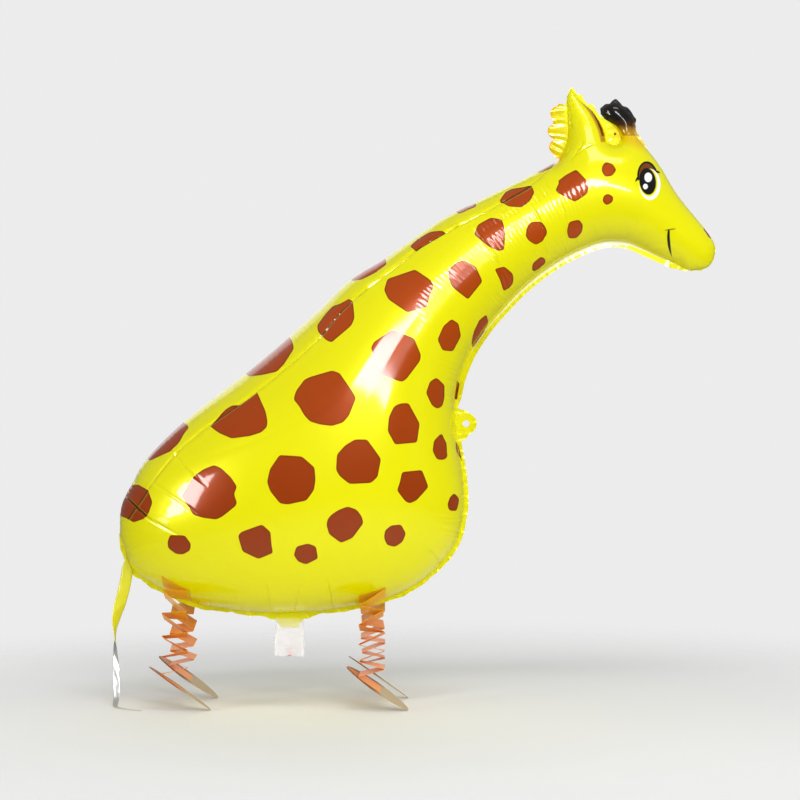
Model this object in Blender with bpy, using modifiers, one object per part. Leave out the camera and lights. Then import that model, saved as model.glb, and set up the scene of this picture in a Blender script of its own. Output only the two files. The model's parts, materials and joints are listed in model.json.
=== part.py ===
"""Giraffe foil balloon: an inflated two-sheet foil body with film legs, card feet and a ribbon tail.

Metres, +Z up. The giraffe faces +X and its right side faces -Y. It stands on its four toes at Z = 0,
and the origin is the middle of its footprint box.
"""
import math

import bmesh
import bpy
import numpy as np
from mathutils import Matrix, Vector
from mathutils.bvhtree import BVHTree
from mathutils.geometry import delaunay_2d_cdt

# Balloon
BALLOON_HEIGHT = 0.655          # belly seam to ear tip
BELLY_CLEARANCE = 0.114         # floor to the foot of the outline's drawing
FOIL_THICKNESS = 0.0008         # the two sheets welded flat
FULLNESS = 0.87                 # depth of the inflated form against a full round
SEAM_WIDTH = 0.0080             # throat
BELLY_SEAM_WIDTH = 0.005        # chest, belly and rump
EAR_SEAM_WIDTH = 0.005
HORN_SEAM_WIDTH = 0.0035
SEAM_TAPER = 0.018              # length over which a flat seam narrows at its ends
SEAM_END = 0.3                  # share of its width that is left there
SCALLOP_LOW = 0.55              # width of a scalloped seam between its bumps, as a share
OUTLINE_STEP = 0.0092           # spacing of points along the outline
FINE_STEP = 0.0056              # and along the ear and the horn
SURFACE_STEP = 0.0140           # spacing of points inside it
EDGE_RINGS = (0.0015, 0.0050)   # extra rings of points inside the seam

# Mane, string tab and filling neck
MANE_BUMP_RADIUS = 0.0088
TAB_RADIUS = 0.0129
TAB_HOLE_RADIUS = 0.00425
TONGUE_LENGTH = 0.020           # foil that reaches below the belly seam
TONGUE_TOP_WIDTH = 0.040
TONGUE_END_WIDTH = 0.021
NECK_WIDTH = 0.038
NECK_LENGTH = 0.048
NECK_THICKNESS = 0.0026
NECK_CORNER = 0.003
NECK_DROP = 0.003               # film's top edge below the belly seam's edge

# Legs and feet
LEG_SPREAD = 0.076              # between the middles of a left and a right leg, at the belly
FOOT_SPREAD = 0.104             # and at the feet, where the legs stand apart
FOLD_LENGTH = 0.032
FOLD_COUNT = 10                 # creases of one leg, an even number
STRIP_WIDTH = 0.027
FILM_THICKNESS = 0.0006
FOLD_NIP = 0.0013               # height of the rounded crease between two folds
FOLD_STRETCH = 1.15             # above 1, the upper folds hang further apart than the lower ones
FOOT_LENGTH = 0.092
FOOT_WIDTH = 0.038
FOOT_THICKNESS = 0.0010
FOOT_TIP = 35.0                 # degrees, toe down
FRONT_FOOT_ROLL = 8.0           # degrees, outer edge down
REAR_FOOT_ROLL = -5.0
HEEL_REACH = 0.018              # foot behind the leg's last crease

# Tail
RIBBON_WIDTH = 0.0145
RIBBON_END_WIDTH = 0.004
RIBBON_THICKNESS = 0.0005
RIBBON_LENGTH = 0.240
RIBBON_OVERLAP = 0.004          # glued onto the rump's seam
RIBBON_REST = 0.0006            # height of its middle where it lies on the floor
RIBBON_TURN = (0.12, 0.67)      # shares of its length between which it turns over
RIBBON_TAPER = 0.25             # share of its length where it starts to narrow

GAP = 0.0003                    # between neighbouring pieces
FIT_GAP = 0.0011                # between a strip and the curved foil that it is stuck to

# The outline of the inflated chamber, drawn in hundredths of the balloon's height. Each stretch runs from
# corner to corner, clockwise as seen from the giraffe's right, and ends where the next one starts.
BACK = [(-56.0, 15.2), (-55.7, 20.4), (-53.5, 24.9), (-50.8, 29.4), (-43.7, 36.5), (-31.3, 46.2),
        (-23.5, 52.8), (-18.1, 57.7), (-12.0, 63.5), (-5.4, 67.6), (5.0, 74.8), (12.3, 78.5),
        (22.1, 83.3), (27.6, 86.3)]
EAR_BACK = [(27.6, 86.3), (29.3, 90.0), (29.4, 94.5), (29.2, 98.2), (30.1, 100.0)]
EAR_FRONT = [(30.1, 100.0), (32.3, 97.3), (34.0, 95.9), (35.3, 94.0), (36.4, 92.2), (36.8, 89.8)]
CROWN = [(36.8, 89.8), (38.2, 89.3), (39.7, 90.4)]
HORN = [(39.7, 90.4), (39.1, 91.8), (37.4, 93.8), (36.2, 95.4), (36.9, 96.7), (38.5, 97.2), (40.6, 95.9),
        (41.7, 94.0), (42.0, 91.6), (43.4, 89.8), (44.4, 88.6)]
FACE = [(44.4, 88.6), (47.0, 85.1), (50.3, 79.7), (55.4, 73.3), (57.1, 70.9), (57.5, 68.9), (56.6, 66.4),
        (54.8, 65.5), (52.3, 65.4)]
THROAT = [(52.3, 65.4), (50.4, 66.6), (48.0, 67.6), (44.2, 69.3), (41.0, 70.7), (37.6, 71.0), (34.8, 70.5),
          (31.5, 69.2), (27.9, 67.3), (24.3, 64.9), (20.8, 62.0), (17.3, 58.4), (14.3, 55.0), (11.0, 50.1),
          (9.0, 45.6), (8.0, 41.6), (7.9, 38.6)]
CHEST = [(7.9, 38.6), (8.2, 33.6), (9.3, 27.0), (9.7, 21.3), (9.1, 16.5), (7.5, 12.4), (3.6, 7.9),
         (-1.0, 4.6), (-6.9, 2.4), (-13.7, 1.0), (-20.6, 0.2), (-29.8, 0.2), (-36.6, 1.0), (-42.2, 2.0),
         (-47.1, 4.2), (-51.3, 6.6), (-53.4, 8.2), (-55.0, 11.8), (-56.0, 15.2)]
MANE = [(27.2, 88.9), (26.9, 91.9), (27.4, 95.3)]
MANE_STRIP = [(27.6, 86.6), (26.6, 87.6), (26.6, 96.0), (27.8, 97.2), (30.2, 96.6), (30.2, 88.2)]
WEB = [(35.3, 94.3), (36.6, 94.8), (38.4, 93.2), (40.4, 90.6), (38.2, 88.4), (36.2, 89.4)]
TAB_CENTRE = (10.0, 36.1)
TAB_ROOT = [(7.2, 39.6), (8.6, 39.0), (10.4, 38.4), (11.0, 36.1), (10.4, 33.8), (9.2, 32.9), (7.4, 32.4)]
BELLY_SEAM_Z = 0.2
TONGUE_X = -23.7
TAIL_ROOT = (-54.0, 9.6)
FRONT_LEG = -7.86
REAR_LEG = -44.81

# How the tail sways on its way down: share of the drop, then metres forward and sideways of its root.
TAIL_SWAY = [(0.0, 0.0, 0.0), (0.18, -0.0050, -0.0010), (0.32, -0.0115, 0.0), (0.42, -0.0155, 0.001),
             (0.55, -0.0165, 0.001), (0.73, -0.0150, 0.0), (0.87, -0.0143, -0.003), (0.955, -0.0138, -0.011),
             (1.0, -0.0125, -0.026)]
TAIL_FLOOR_TURN = (0.35, -0.94)


def share(point):
    """Place a drawn point: hundredths of the balloon's height, above the belly seam."""
    x, z = point
    scale = BALLOON_HEIGHT / 100.0
    return Vector((x * scale, BELLY_CLEARANCE + z * scale))


def material(name, colour, roughness, metallic=0.0, transmission=0.0):
    """A Principled material with plain values."""
    surface = bpy.data.materials.new(name)
    surface.use_nodes = True
    shader = surface.node_tree.nodes["Principled BSDF"]
    shader.inputs["Base Color"].default_value = (*colour, 1.0)
    shader.inputs["Roughness"].default_value = roughness
    shader.inputs["Metallic"].default_value = metallic
    shader.inputs["Transmission Weight"].default_value = transmission
    return surface


def add_object(name, mesh, collection, surface=None):
    """Link a mesh as a named object with its own material."""
    item = bpy.data.objects.new(name, mesh)
    collection.objects.link(item)
    if surface:
        mesh.materials.append(surface)
    return item


def curve_through(points, step):
    """A smooth run of points, about one step apart, through the drawn points of one stretch."""
    drawn = [share(p) for p in points]
    padded = [2 * drawn[0] - drawn[1], *drawn, 2 * drawn[-1] - drawn[-2]]
    fine = []
    for before, start, end, after in zip(padded, padded[1:], padded[2:], padded[3:]):
        for k in range(16):
            t = k / 16
            fine.append(0.5 * (2 * start + (end - before) * t
                               + (2 * before - 5 * start + 4 * end - after) * t ** 2
                               + (3 * start - before - 3 * end + after) * t ** 3))
    fine.append(drawn[-1])
    lengths = [0.0]
    for a, b in zip(fine, fine[1:]):
        lengths.append(lengths[-1] + (b - a).length)
    count = max(2, round(lengths[-1] / step))
    wanted = [lengths[-1] * k / count for k in range(count + 1)]
    xs = np.interp(wanted, lengths, [p.x for p in fine])
    zs = np.interp(wanted, lengths, [p.y for p in fine])
    return [Vector((x, z)) for x, z in zip(xs, zs)]


def welded_edge(run, width, bumps=0):
    """The flat seam beside a stretch, as quads that reach outwards by its width and narrow at both ends."""
    count = len(run)
    outer = []
    for k, point in enumerate(run):
        along = (run[min(k + 1, count - 1)] - run[max(k - 1, 0)]).normalized()
        from_end = min((point - run[0]).length, (point - run[-1]).length)
        reach = width * (SEAM_END + (1.0 - SEAM_END) * min(from_end / SEAM_TAPER, 1.0))
        if bumps:
            bump = abs(math.sin(math.pi * bumps * k / (count - 1)))
            reach *= SCALLOP_LOW + (1.0 - SCALLOP_LOW) * bump
        outer.append(point + reach * Vector((-along.y, along.x)))
    return [[run[k], run[k + 1], outer[k + 1], outer[k]] for k in range(count - 1)]


def disc(centre, radius, sides):
    """A round outline."""
    turns = [2 * math.pi * k / sides for k in range(sides)]
    return [centre + radius * Vector((math.cos(a), math.sin(a))) for a in turns]


def distance_to(loop, points):
    """Distance from each point to a closed outline."""
    starts = np.array(loop)
    ends = np.roll(starts, -1, axis=0)
    spans = ends - starts
    best = np.full(len(points), np.inf)
    for start, span in zip(starts, spans):
        share_along = np.clip(((points - start) @ span) / (span @ span), 0.0, 1.0)
        foot = start + share_along[:, None] * span
        best = np.minimum(best, np.linalg.norm(points - foot, axis=1))
    return best


def is_inside(loop, points):
    """Whether each point lies inside a closed outline."""
    starts = np.array(loop)
    ends = np.roll(starts, -1, axis=0)
    inside = np.zeros(len(points), dtype=bool)
    for (x0, z0), (x1, z1) in zip(starts, ends):
        crosses = (z0 > points[:, 1]) != (z1 > points[:, 1])
        rise = z1 - z0 if z1 != z0 else 1.0
        inside ^= crosses & (points[:, 0] < x0 + (points[:, 1] - z0) * (x1 - x0) / rise)
    return inside


def surface_points(loop):
    """Points inside the chamber: rings that follow the seam, then an even triangular grid."""
    outline = np.array(loop)
    ahead = np.roll(outline, -1, axis=0)
    behind = np.roll(outline, 1, axis=0)
    along = (ahead - behind) / np.linalg.norm(ahead - behind, axis=1)[:, None]
    inward = np.stack([along[:, 1], -along[:, 0]], axis=1)
    chosen = []
    for ring in EDGE_RINGS:
        points = outline + ring * inward
        keep = is_inside(loop, points) & (distance_to(loop, points) > 0.9 * ring)
        chosen.append(points[keep])
    low = outline.min(axis=0)
    high = outline.max(axis=0)
    rows = np.arange(low[1], high[1], SURFACE_STEP * math.sqrt(3) / 2)
    grid = []
    for k, z in enumerate(rows):
        xs = np.arange(low[0] + 0.5 * (k % 2) * SURFACE_STEP, high[0], SURFACE_STEP)
        grid.append(np.stack([xs, np.full(len(xs), z)], axis=1))
    grid = np.concatenate(grid)
    keep = is_inside(loop, grid) & (distance_to(loop, grid) > EDGE_RINGS[-1] + 0.45 * SURFACE_STEP)
    chosen.append(grid[keep])
    return np.concatenate(chosen)


def turned_left(shape):
    """The same outline, run so that its inside is on the left."""
    twice_area = sum(a.x * b.y - b.x * a.y for a, b in zip(shape, [*shape[1:], shape[0]]))
    return shape if twice_area > 0 else shape[::-1]


def triangulate(solid_shapes, holes, extra_points):
    """Triangles of the flat pattern, with the numbers of the shapes that each one lies in."""
    points = []
    faces = []
    for shape in [*solid_shapes, *holes]:
        first = len(points)
        points.extend(turned_left(shape))
        faces.append(list(range(first, len(points))))
    points.extend(Vector(p) for p in extra_points)
    flat, _, triangles, _, _, sources = delaunay_2d_cdt(points, [], faces, 1, 1e-6)
    hole_ids = set(range(len(solid_shapes), len(faces)))
    kept = [(t, set(s)) for t, s in zip(triangles, sources) if s and not hole_ids & set(s)]
    return np.array([tuple(p) for p in flat]), kept


def inflated_depth(points, triangles, inflated):
    """Half the depth of a sealed two-sheet chamber over each point of its flat pattern.

    The depth is the root of the height of an evenly loaded membrane held at the seam, which is a circle
    across a long tube and a flattened round across a disc.
    """
    chamber = np.array([t for t, is_full in zip(triangles, inflated) if is_full])
    rim = set(range(len(points))) - set(chamber.ravel())
    for triangle, is_full in zip(triangles, inflated):
        if not is_full:
            rim.update(triangle)
    edges = {}
    for triangle in chamber:
        for a, b in zip(triangle, np.roll(triangle, -1)):
            edges.setdefault((min(a, b), max(a, b)), []).append(1)
    for (a, b), uses in edges.items():
        if len(uses) == 1:
            rim.update((a, b))
    size = len(points)
    stiffness = np.zeros((size, size))
    load = np.zeros(size)
    for triangle in chamber:
        corners = points[triangle]
        for k in range(3):
            i, j, opposite = triangle[k], triangle[(k + 1) % 3], corners[(k + 2) % 3]
            u = points[i] - opposite
            v = points[j] - opposite
            area = abs(u[0] * v[1] - u[1] * v[0])
            pull = 0.5 * float(u @ v) / area
            stiffness[i, j] -= pull
            stiffness[j, i] -= pull
            stiffness[i, i] += pull
            stiffness[j, j] += pull
            load[i] += area / 6.0
    free = np.array(sorted(set(range(size)) - rim))
    height = np.zeros(size)
    height[free] = np.linalg.solve(stiffness[np.ix_(free, free)], load[free])
    return FULLNESS * np.sqrt(2.0 * np.maximum(height, 0.0))


def two_sheets(name, points, triangles, depth):
    """A closed mesh from a flat pattern: a near sheet, a far sheet and the cut edge between them."""
    half = 0.5 * FOIL_THICKNESS
    used = sorted({int(i) for triangle in triangles for i in triangle})
    body = bmesh.new()
    near = {i: body.verts.new((points[i][0], -half - depth[i], points[i][1])) for i in used}
    far = {i: body.verts.new((points[i][0], half + depth[i], points[i][1])) for i in used}
    directed = set()
    for triangle in triangles:
        a, b, c = (int(i) for i in triangle)
        cross = np.cross(points[b] - points[a], points[c] - points[a])
        if cross < 0:
            b, c = c, b
        body.faces.new((near[a], near[b], near[c]))
        body.faces.new((far[c], far[b], far[a]))
        directed.update([(a, b), (b, c), (c, a)])
    for a, b in sorted(directed):
        if (b, a) not in directed:
            body.faces.new((near[b], near[a], far[a], far[b]))
    mesh = bpy.data.meshes.new(name)
    body.to_mesh(mesh)
    body.free()
    return mesh


def chamber_outline():
    """The closed seam line of the chamber, and its stretches by name."""
    drawn = {"back": BACK, "ear_back": EAR_BACK, "ear_front": EAR_FRONT, "crown": CROWN, "horn": HORN,
             "face": FACE, "throat": THROAT, "chest": CHEST}
    small = ("ear_back", "ear_front", "crown", "horn")
    runs = {name: curve_through(points, FINE_STEP if name in small else OUTLINE_STEP)
            for name, points in drawn.items()}
    loop = [point for run in runs.values() for point in run[:-1]]
    return loop, runs


def mane_shapes():
    """Discs in a row, which make the scalloped flat mane, and a strip that joins them to the ear."""
    return [*(disc(share(middle), MANE_BUMP_RADIUS, 18) for middle in MANE), [share(p) for p in MANE_STRIP]]


def tongue_shape(clearance=0.0):
    """The flat foil tongue below the belly seam, which narrows into the filling neck."""
    seam = share((TONGUE_X, BELLY_SEAM_Z))
    top = 0.5 * TONGUE_TOP_WIDTH + clearance
    end = 0.5 * TONGUE_END_WIDTH + clearance
    low = TONGUE_LENGTH + clearance
    return [seam + Vector((-top, 0.001)), seam + Vector((-end, -low)), seam + Vector((end, -low)),
            seam + Vector((top, 0.001))]


def make_balloon(collection, surface):
    """The inflated foil giraffe with its flat trim, in one piece."""
    loop, runs = chamber_outline()
    seams = [*welded_edge(runs["throat"], SEAM_WIDTH), *welded_edge(runs["chest"], BELLY_SEAM_WIDTH),
             *welded_edge(runs["ear_front"], EAR_SEAM_WIDTH, bumps=4), *welded_edge(runs["horn"], HORN_SEAM_WIDTH)]
    flat_trim = [*mane_shapes(), [share(p) for p in WEB], [share(p) for p in TAB_ROOT], tongue_shape()]
    eye_room = disc(share(TAB_CENTRE), TAB_RADIUS + GAP, 32)
    points, kept = triangulate([loop, *seams, *flat_trim], [eye_room], surface_points(loop))
    triangles = [t for t, _ in kept]
    depth = inflated_depth(points, triangles, [0 in s for _, s in kept])
    balloon = add_object("balloon", two_sheets("balloon", points, triangles, depth), collection, surface)
    balloon.data.shade_smooth()
    return balloon


def make_string_tab(collection, surface):
    """The round eye of the chest's tab, with the hole that a string is tied through."""
    centre = share(TAB_CENTRE)
    eye = disc(centre, TAB_RADIUS, 32)
    hole = disc(centre, TAB_HOLE_RADIUS, 24)
    points, kept = triangulate([eye], [hole], np.zeros((0, 2)))
    mesh = two_sheets("string_tab", points, [t for t, _ in kept], np.zeros(len(points)))
    add_object("string_tab", mesh, collection, surface)


def flat_plate(name, outline, thickness):
    """A closed flat plate in the seam's plane, from one outline."""
    body = bmesh.new()
    near = body.faces.new([body.verts.new((p.x, -0.5 * thickness, p.y)) for p in outline])
    far = bmesh.ops.extrude_face_region(body, geom=[near])
    moved = [item for item in far["geom"] if isinstance(item, bmesh.types.BMVert)]
    bmesh.ops.translate(body, verts=moved, vec=(0.0, thickness, 0.0))
    bmesh.ops.recalc_face_normals(body, faces=body.faces)
    mesh = bpy.data.meshes.new(name)
    body.to_mesh(mesh)
    body.free()
    return mesh


def make_filling_neck(collection, cutters, surface):
    """The clear film sleeve, with a pocket that takes the foil tongue."""
    top = share((TONGUE_X, BELLY_SEAM_Z)) - Vector((0.0, BELLY_SEAM_WIDTH + NECK_DROP))
    half = 0.5 * NECK_WIDTH
    low = NECK_LENGTH
    corner = NECK_CORNER
    outline = [top + Vector(p) for p in ((-half, 0.0), (-half, corner - low), (corner - half, -low),
                                         (half - corner, -low), (half, corner - low), (half, 0.0))]
    neck = add_object("filling_neck", flat_plate("filling_neck", outline, NECK_THICKNESS), collection, surface)
    pocket = add_object("tongue_pocket", flat_plate("tongue_pocket", tongue_shape(GAP),
                                                    FOIL_THICKNESS + 2 * GAP), cutters)
    pocket.hide_render = True
    pocket.display_type = "WIRE"
    cut = neck.modifiers.new("pocket", "BOOLEAN")
    cut.operation = "DIFFERENCE"
    cut.object = pocket


def foot_frame(leg_x, side, roll):
    """The place of a foot: its heel, and its directions to the toe, across and up."""
    tip = math.radians(FOOT_TIP)
    to_toe = Vector((math.cos(tip), 0.0, -math.sin(tip)))
    turn = Matrix.Rotation(-side * math.radians(roll), 3, to_toe)
    up = turn @ Vector((math.sin(tip), 0.0, math.cos(tip)))
    across = turn @ Vector((0.0, 1.0, 0.0))
    heel_x = leg_x - 0.5 * FOLD_LENGTH - HEEL_REACH * math.cos(tip)
    heel_z = FOOT_LENGTH * math.sin(tip) + 0.5 * FOOT_THICKNESS * up.z
    heel = Vector((heel_x, 0.5 * side * FOOT_SPREAD, heel_z))
    return heel, to_toe, across, up


def make_foot(name, frame, collection, surface):
    """A pointed-oval card, which touches the floor with its toe."""
    heel, to_toe, across, up = frame
    body = bmesh.new()
    sides = 22
    ring = []
    for k in range(sides):
        angle = 2 * math.pi * k / sides
        reach = 0.5 * FOOT_LENGTH * (1.0 - math.cos(angle))
        spread = 0.5 * FOOT_WIDTH * math.sin(angle) * (1.0 - 0.12 * math.cos(2 * angle))
        ring.append(body.verts.new(heel + reach * to_toe + spread * across))
    body.faces.new(ring)
    mesh = bpy.data.meshes.new(name)
    body.to_mesh(mesh)
    body.free()
    foot = add_object(name, mesh, collection, surface)
    thick = foot.modifiers.new("thickness", "SOLIDIFY")
    thick.thickness = FOOT_THICKNESS
    thick.offset = 0.0


def pad_rows(belly, leg_x, side):
    """Rows of points of the top fold, which lies against the belly's foil."""
    rows = []
    for k in range(4):
        start = Vector((leg_x + (k / 3 - 0.5) * FOLD_LENGTH, 0.5 * side * LEG_SPREAD, 0.0))
        middle, normal, _, _ = belly.ray_cast(start, Vector((0.0, 0.0, 1.0)))
        across = Vector((0.0, -normal.z, normal.y)).normalized()
        row = []
        for column in (-1.0, 0.0, 1.0):
            point, normal, _, _ = belly.find_nearest(middle + 0.5 * column * STRIP_WIDTH * across)
            row.append(point + (FIT_GAP + 0.5 * FILM_THICKNESS) * normal)
        rows.append(row)
    return rows


def make_leg(name, belly, leg_x, side, frame, collection, surface):
    """An accordion of film: a fold stuck to the belly, free folds, and a last fold stuck to the foot."""
    heel, to_toe, across, up = frame
    rows = pad_rows(belly, leg_x, side)
    top = rows[-1]
    top_across = (top[2] - top[0]).normalized()
    rows.append([point - Vector((0.0, 0.0, FOLD_NIP)) for point in top])
    glued = heel + HEEL_REACH * to_toe + (0.5 * FOOT_THICKNESS + GAP + 0.5 * FILM_THICKNESS) * up
    last = glued + FOLD_NIP * up
    for k in range(2, FOLD_COUNT):
        part_down = (k - 1) / (FOLD_COUNT - 1)
        drop = 1.0 - (1.0 - part_down) ** FOLD_STRETCH
        pad_end = rows[3] if k % 2 else rows[0]
        middle = pad_end[1].lerp(last, drop)
        middle.x = leg_x + (0.5 if k % 2 else -0.5) * FOLD_LENGTH
        lie = top_across.lerp(across, part_down).normalized()
        for nip in (0.5, -0.5):
            rise = Vector((0.0, 0.0, nip * FOLD_NIP))
            rows.append([middle + rise + 0.5 * c * STRIP_WIDTH * lie for c in (-1.0, 0.0, 1.0)])
    for middle in (last, glued, glued + FOLD_LENGTH * to_toe):
        rows.append([middle + 0.5 * c * STRIP_WIDTH * across for c in (-1.0, 0.0, 1.0)])
    leg = add_object(name, sheet_of_rows(name, rows), collection, surface)
    thick = leg.modifiers.new("film", "SOLIDIFY")
    thick.thickness = FILM_THICKNESS
    thick.offset = 0.0
    thick.use_even_offset = True


def sheet_of_rows(name, rows):
    """An open sheet lofted through rows of equally many points."""
    body = bmesh.new()
    verts = [[body.verts.new(point) for point in row] for row in rows]
    for upper, lower in zip(verts, verts[1:]):
        for k in range(len(upper) - 1):
            body.faces.new((upper[k], upper[k + 1], lower[k + 1], lower[k]))
    mesh = bpy.data.meshes.new(name)
    body.to_mesh(mesh)
    body.free()
    return mesh


def tail_root():
    """Where the ribbon is glued on the rump's flat seam, and the way that the seam runs there."""
    run = chamber_outline()[1]["chest"]
    wanted = share(TAIL_ROOT)
    k = min(range(1, len(run) - 1), key=lambda i: (run[i] - wanted).length)
    along = (run[k + 1] - run[k - 1]).normalized()
    outward = Vector((-along.y, along.x))
    return run[k] + (BELLY_SEAM_WIDTH - RIBBON_OVERLAP) * outward, along


def tail_route(root):
    """The ribbon's middle line: down from the rump, then along the floor for the length that is left."""
    route = [Vector((root.x + forward, sideways, root.y + (RIBBON_REST - root.y) * drop))
             for drop, forward, sideways in TAIL_SWAY]
    hung = sum((b - a).length for a, b in zip(route, route[1:]))
    left = max(RIBBON_LENGTH - hung, 0.002)
    turn = Vector((TAIL_FLOOR_TURN[0], TAIL_FLOOR_TURN[1], 0.0)).normalized()
    for k in range(1, 4):
        curl = Matrix.Rotation(math.radians(14.0 * k), 3, "Z") @ turn
        route.append(route[-1] + left / 3 * curl)
    return route


def make_tail(collection, surface):
    """A foil ribbon that makes half a turn on its way down, glued to the seam of the rump."""
    root, seam = tail_root()
    route = tail_route(root)
    padded = [2 * route[0] - route[1], *route, 2 * route[-1] - route[-2]]
    middles = []
    for before, start, end, after in zip(padded, padded[1:], padded[2:], padded[3:]):
        for k in range(3):
            t = k / 3
            middles.append(0.5 * (2 * start + (end - before) * t
                                  + (2 * before - 5 * start + 4 * end - after) * t ** 2
                                  + (3 * start - before - 3 * end + after) * t ** 3))
    middles.append(route[-1])
    face_out = 0.5 * (FOIL_THICKNESS + RIBBON_THICKNESS) + GAP
    rows = []
    travelled = 0.0
    for k, middle in enumerate(middles):
        ahead = middles[min(k + 1, len(middles) - 1)]
        behind = middles[max(k - 1, 0)]
        along = (ahead - behind).normalized()
        travelled += (middle - behind).length if k else 0.0
        part_down = min(travelled / RIBBON_LENGTH, 1.0)
        ease = min(max((part_down - RIBBON_TURN[0]) / (RIBBON_TURN[1] - RIBBON_TURN[0]), 0.0), 1.0)
        turned = math.pi * ease * ease * (3.0 - 2.0 * ease)
        flat = Vector((math.cos(turned), math.sin(turned), 0.0))
        flat = (flat - flat.dot(along) * along).normalized()
        flat = flat.lerp(Vector((-seam.x, 0.0, -seam.y)), max(1.0 - k / 3, 0.0)).normalized()
        narrow = max(part_down - RIBBON_TAPER, 0.0) / (1.0 - RIBBON_TAPER)
        half = 0.5 * (RIBBON_WIDTH + (RIBBON_END_WIDTH - RIBBON_WIDTH) * narrow)
        place = middle - Vector((0.0, face_out, 0.0))
        place.z = max(place.z, RIBBON_REST)
        row = [place - half * flat, place + half * flat]
        for point in row:
            point.z = max(point.z, RIBBON_REST)
        rows.append(row)
    tail = add_object("tail_ribbon", sheet_of_rows("tail_ribbon", rows), collection, surface)
    thick = tail.modifiers.new("foil", "SOLIDIFY")
    thick.thickness = RIBBON_THICKNESS
    thick.offset = 0.0


def clear_scene():
    """Remove what the scene holds."""
    for item in list(bpy.data.objects):
        bpy.data.objects.remove(item, do_unlink=True)


def main():
    clear_scene()
    collection = bpy.data.collections.new("giraffe_foil_balloon")
    cutters = bpy.data.collections.new("cutters")
    for group in (collection, cutters):
        bpy.context.scene.collection.children.link(group)

    balloon = make_balloon(collection, material("printed_yellow_foil", (0.86, 0.80, 0.02), 0.22))
    make_string_tab(collection, material("welded_yellow_foil", (0.86, 0.80, 0.02), 0.25))
    make_filling_neck(collection, cutters, material("clear_film", (0.92, 0.90, 0.92), 0.15, transmission=0.8))
    make_tail(collection, material("ribbon_foil", (0.80, 0.76, 0.10), 0.25))

    belly = BVHTree.FromObject(balloon, bpy.context.evaluated_depsgraph_get())
    film = (0.90, 0.42, 0.03)
    card = (0.62, 0.42, 0.20)
    for pair, place, roll in (("front", FRONT_LEG, FRONT_FOOT_ROLL), ("rear", REAR_LEG, REAR_FOOT_ROLL)):
        leg_x = share((place, 0.0)).x
        for hand, side in (("right", -1), ("left", 1)):
            frame = foot_frame(leg_x, side, roll)
            foot_name = f"{pair}_foot_{hand}"
            leg_name = f"{pair}_leg_{hand}"
            make_foot(foot_name, frame, collection, material(f"{foot_name}_card", card, 0.6))
            make_leg(leg_name, belly, leg_x, side, frame, collection, material(f"{leg_name}_film", film, 0.3))


main()
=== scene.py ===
"""Looks of an inflated foil giraffe on film legs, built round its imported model."""

import json
import math

import bmesh
import bpy
import numpy as np
from mathutils import Matrix, Vector
from mathutils.bvhtree import BVHTree
from mathutils.geometry import delaunay_2d_cdt
from mathutils.kdtree import KDTree

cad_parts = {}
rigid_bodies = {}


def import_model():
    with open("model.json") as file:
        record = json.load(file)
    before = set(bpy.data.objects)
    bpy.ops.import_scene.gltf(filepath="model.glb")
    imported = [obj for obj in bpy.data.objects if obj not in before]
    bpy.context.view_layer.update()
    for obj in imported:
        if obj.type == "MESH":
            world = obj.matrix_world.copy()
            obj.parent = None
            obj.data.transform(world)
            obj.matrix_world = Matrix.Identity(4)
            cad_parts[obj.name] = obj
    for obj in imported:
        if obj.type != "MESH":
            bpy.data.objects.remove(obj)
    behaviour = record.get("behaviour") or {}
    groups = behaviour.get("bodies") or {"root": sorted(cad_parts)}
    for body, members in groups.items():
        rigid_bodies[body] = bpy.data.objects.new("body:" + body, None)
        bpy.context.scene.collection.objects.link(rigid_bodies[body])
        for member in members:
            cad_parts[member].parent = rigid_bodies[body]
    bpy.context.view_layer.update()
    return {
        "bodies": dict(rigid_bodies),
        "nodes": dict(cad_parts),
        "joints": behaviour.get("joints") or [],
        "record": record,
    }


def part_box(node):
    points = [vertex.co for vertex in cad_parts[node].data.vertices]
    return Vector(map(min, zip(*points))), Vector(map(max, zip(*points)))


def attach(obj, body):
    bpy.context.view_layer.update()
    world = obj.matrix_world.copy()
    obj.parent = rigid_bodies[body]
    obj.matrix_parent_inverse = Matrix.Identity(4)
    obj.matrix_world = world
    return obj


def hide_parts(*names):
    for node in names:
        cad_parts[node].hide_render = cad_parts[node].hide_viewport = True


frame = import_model()

# Camera
# A level camera beside the giraffe, at the height of its chest. The seam's plane fills the picture with one
# metre, and the same place gives where each spot of the print lies on the rounded foil.
CAMERA = Vector((-0.0171, -2.6, 0.380))
PICTURE_SPAN = 1.0              # metres of the seam's plane across the picture
PICTURE_SIDE = 800              # its side in pixels
METRES_PER_PIXEL = PICTURE_SPAN / PICTURE_SIDE

camera_data = bpy.data.cameras.new("camera")
camera_data.lens = camera_data.sensor_width * -CAMERA.y / PICTURE_SPAN
camera = bpy.data.objects.new("camera", camera_data)
camera.location = CAMERA
camera.rotation_euler = (math.pi / 2, 0.0, 0.0)
bpy.context.scene.collection.objects.link(camera)
bpy.context.scene.camera = camera


def at_pixel(pixel):
    """A place in the picture, as metres right and up in the seam's plane."""
    right = CAMERA.x + (pixel[0] - PICTURE_SIDE / 2) * METRES_PER_PIXEL
    return Vector((right, CAMERA.z - (pixel[1] - PICTURE_SIDE / 2) * METRES_PER_PIXEL))


# Balloon
# Two sheets of printed foil film, heat-welded together along a flat seam and blown up tight. The seam stays a
# flat band along throat, chest and belly, and the foil puckers where it is gathered into it. The scalloped
# mane, the web between ear and horn and the tab with its string hole are parts of the same two sheets.
FOIL_HALF = 0.00016             # half the thickness of the two sheets where they are welded
SEAM_STEP = 0.0011              # spacing of points along the weld
CORNER_TURN = math.radians(45)
TOUCHING = 0.00001              # points closer than this are one


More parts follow.
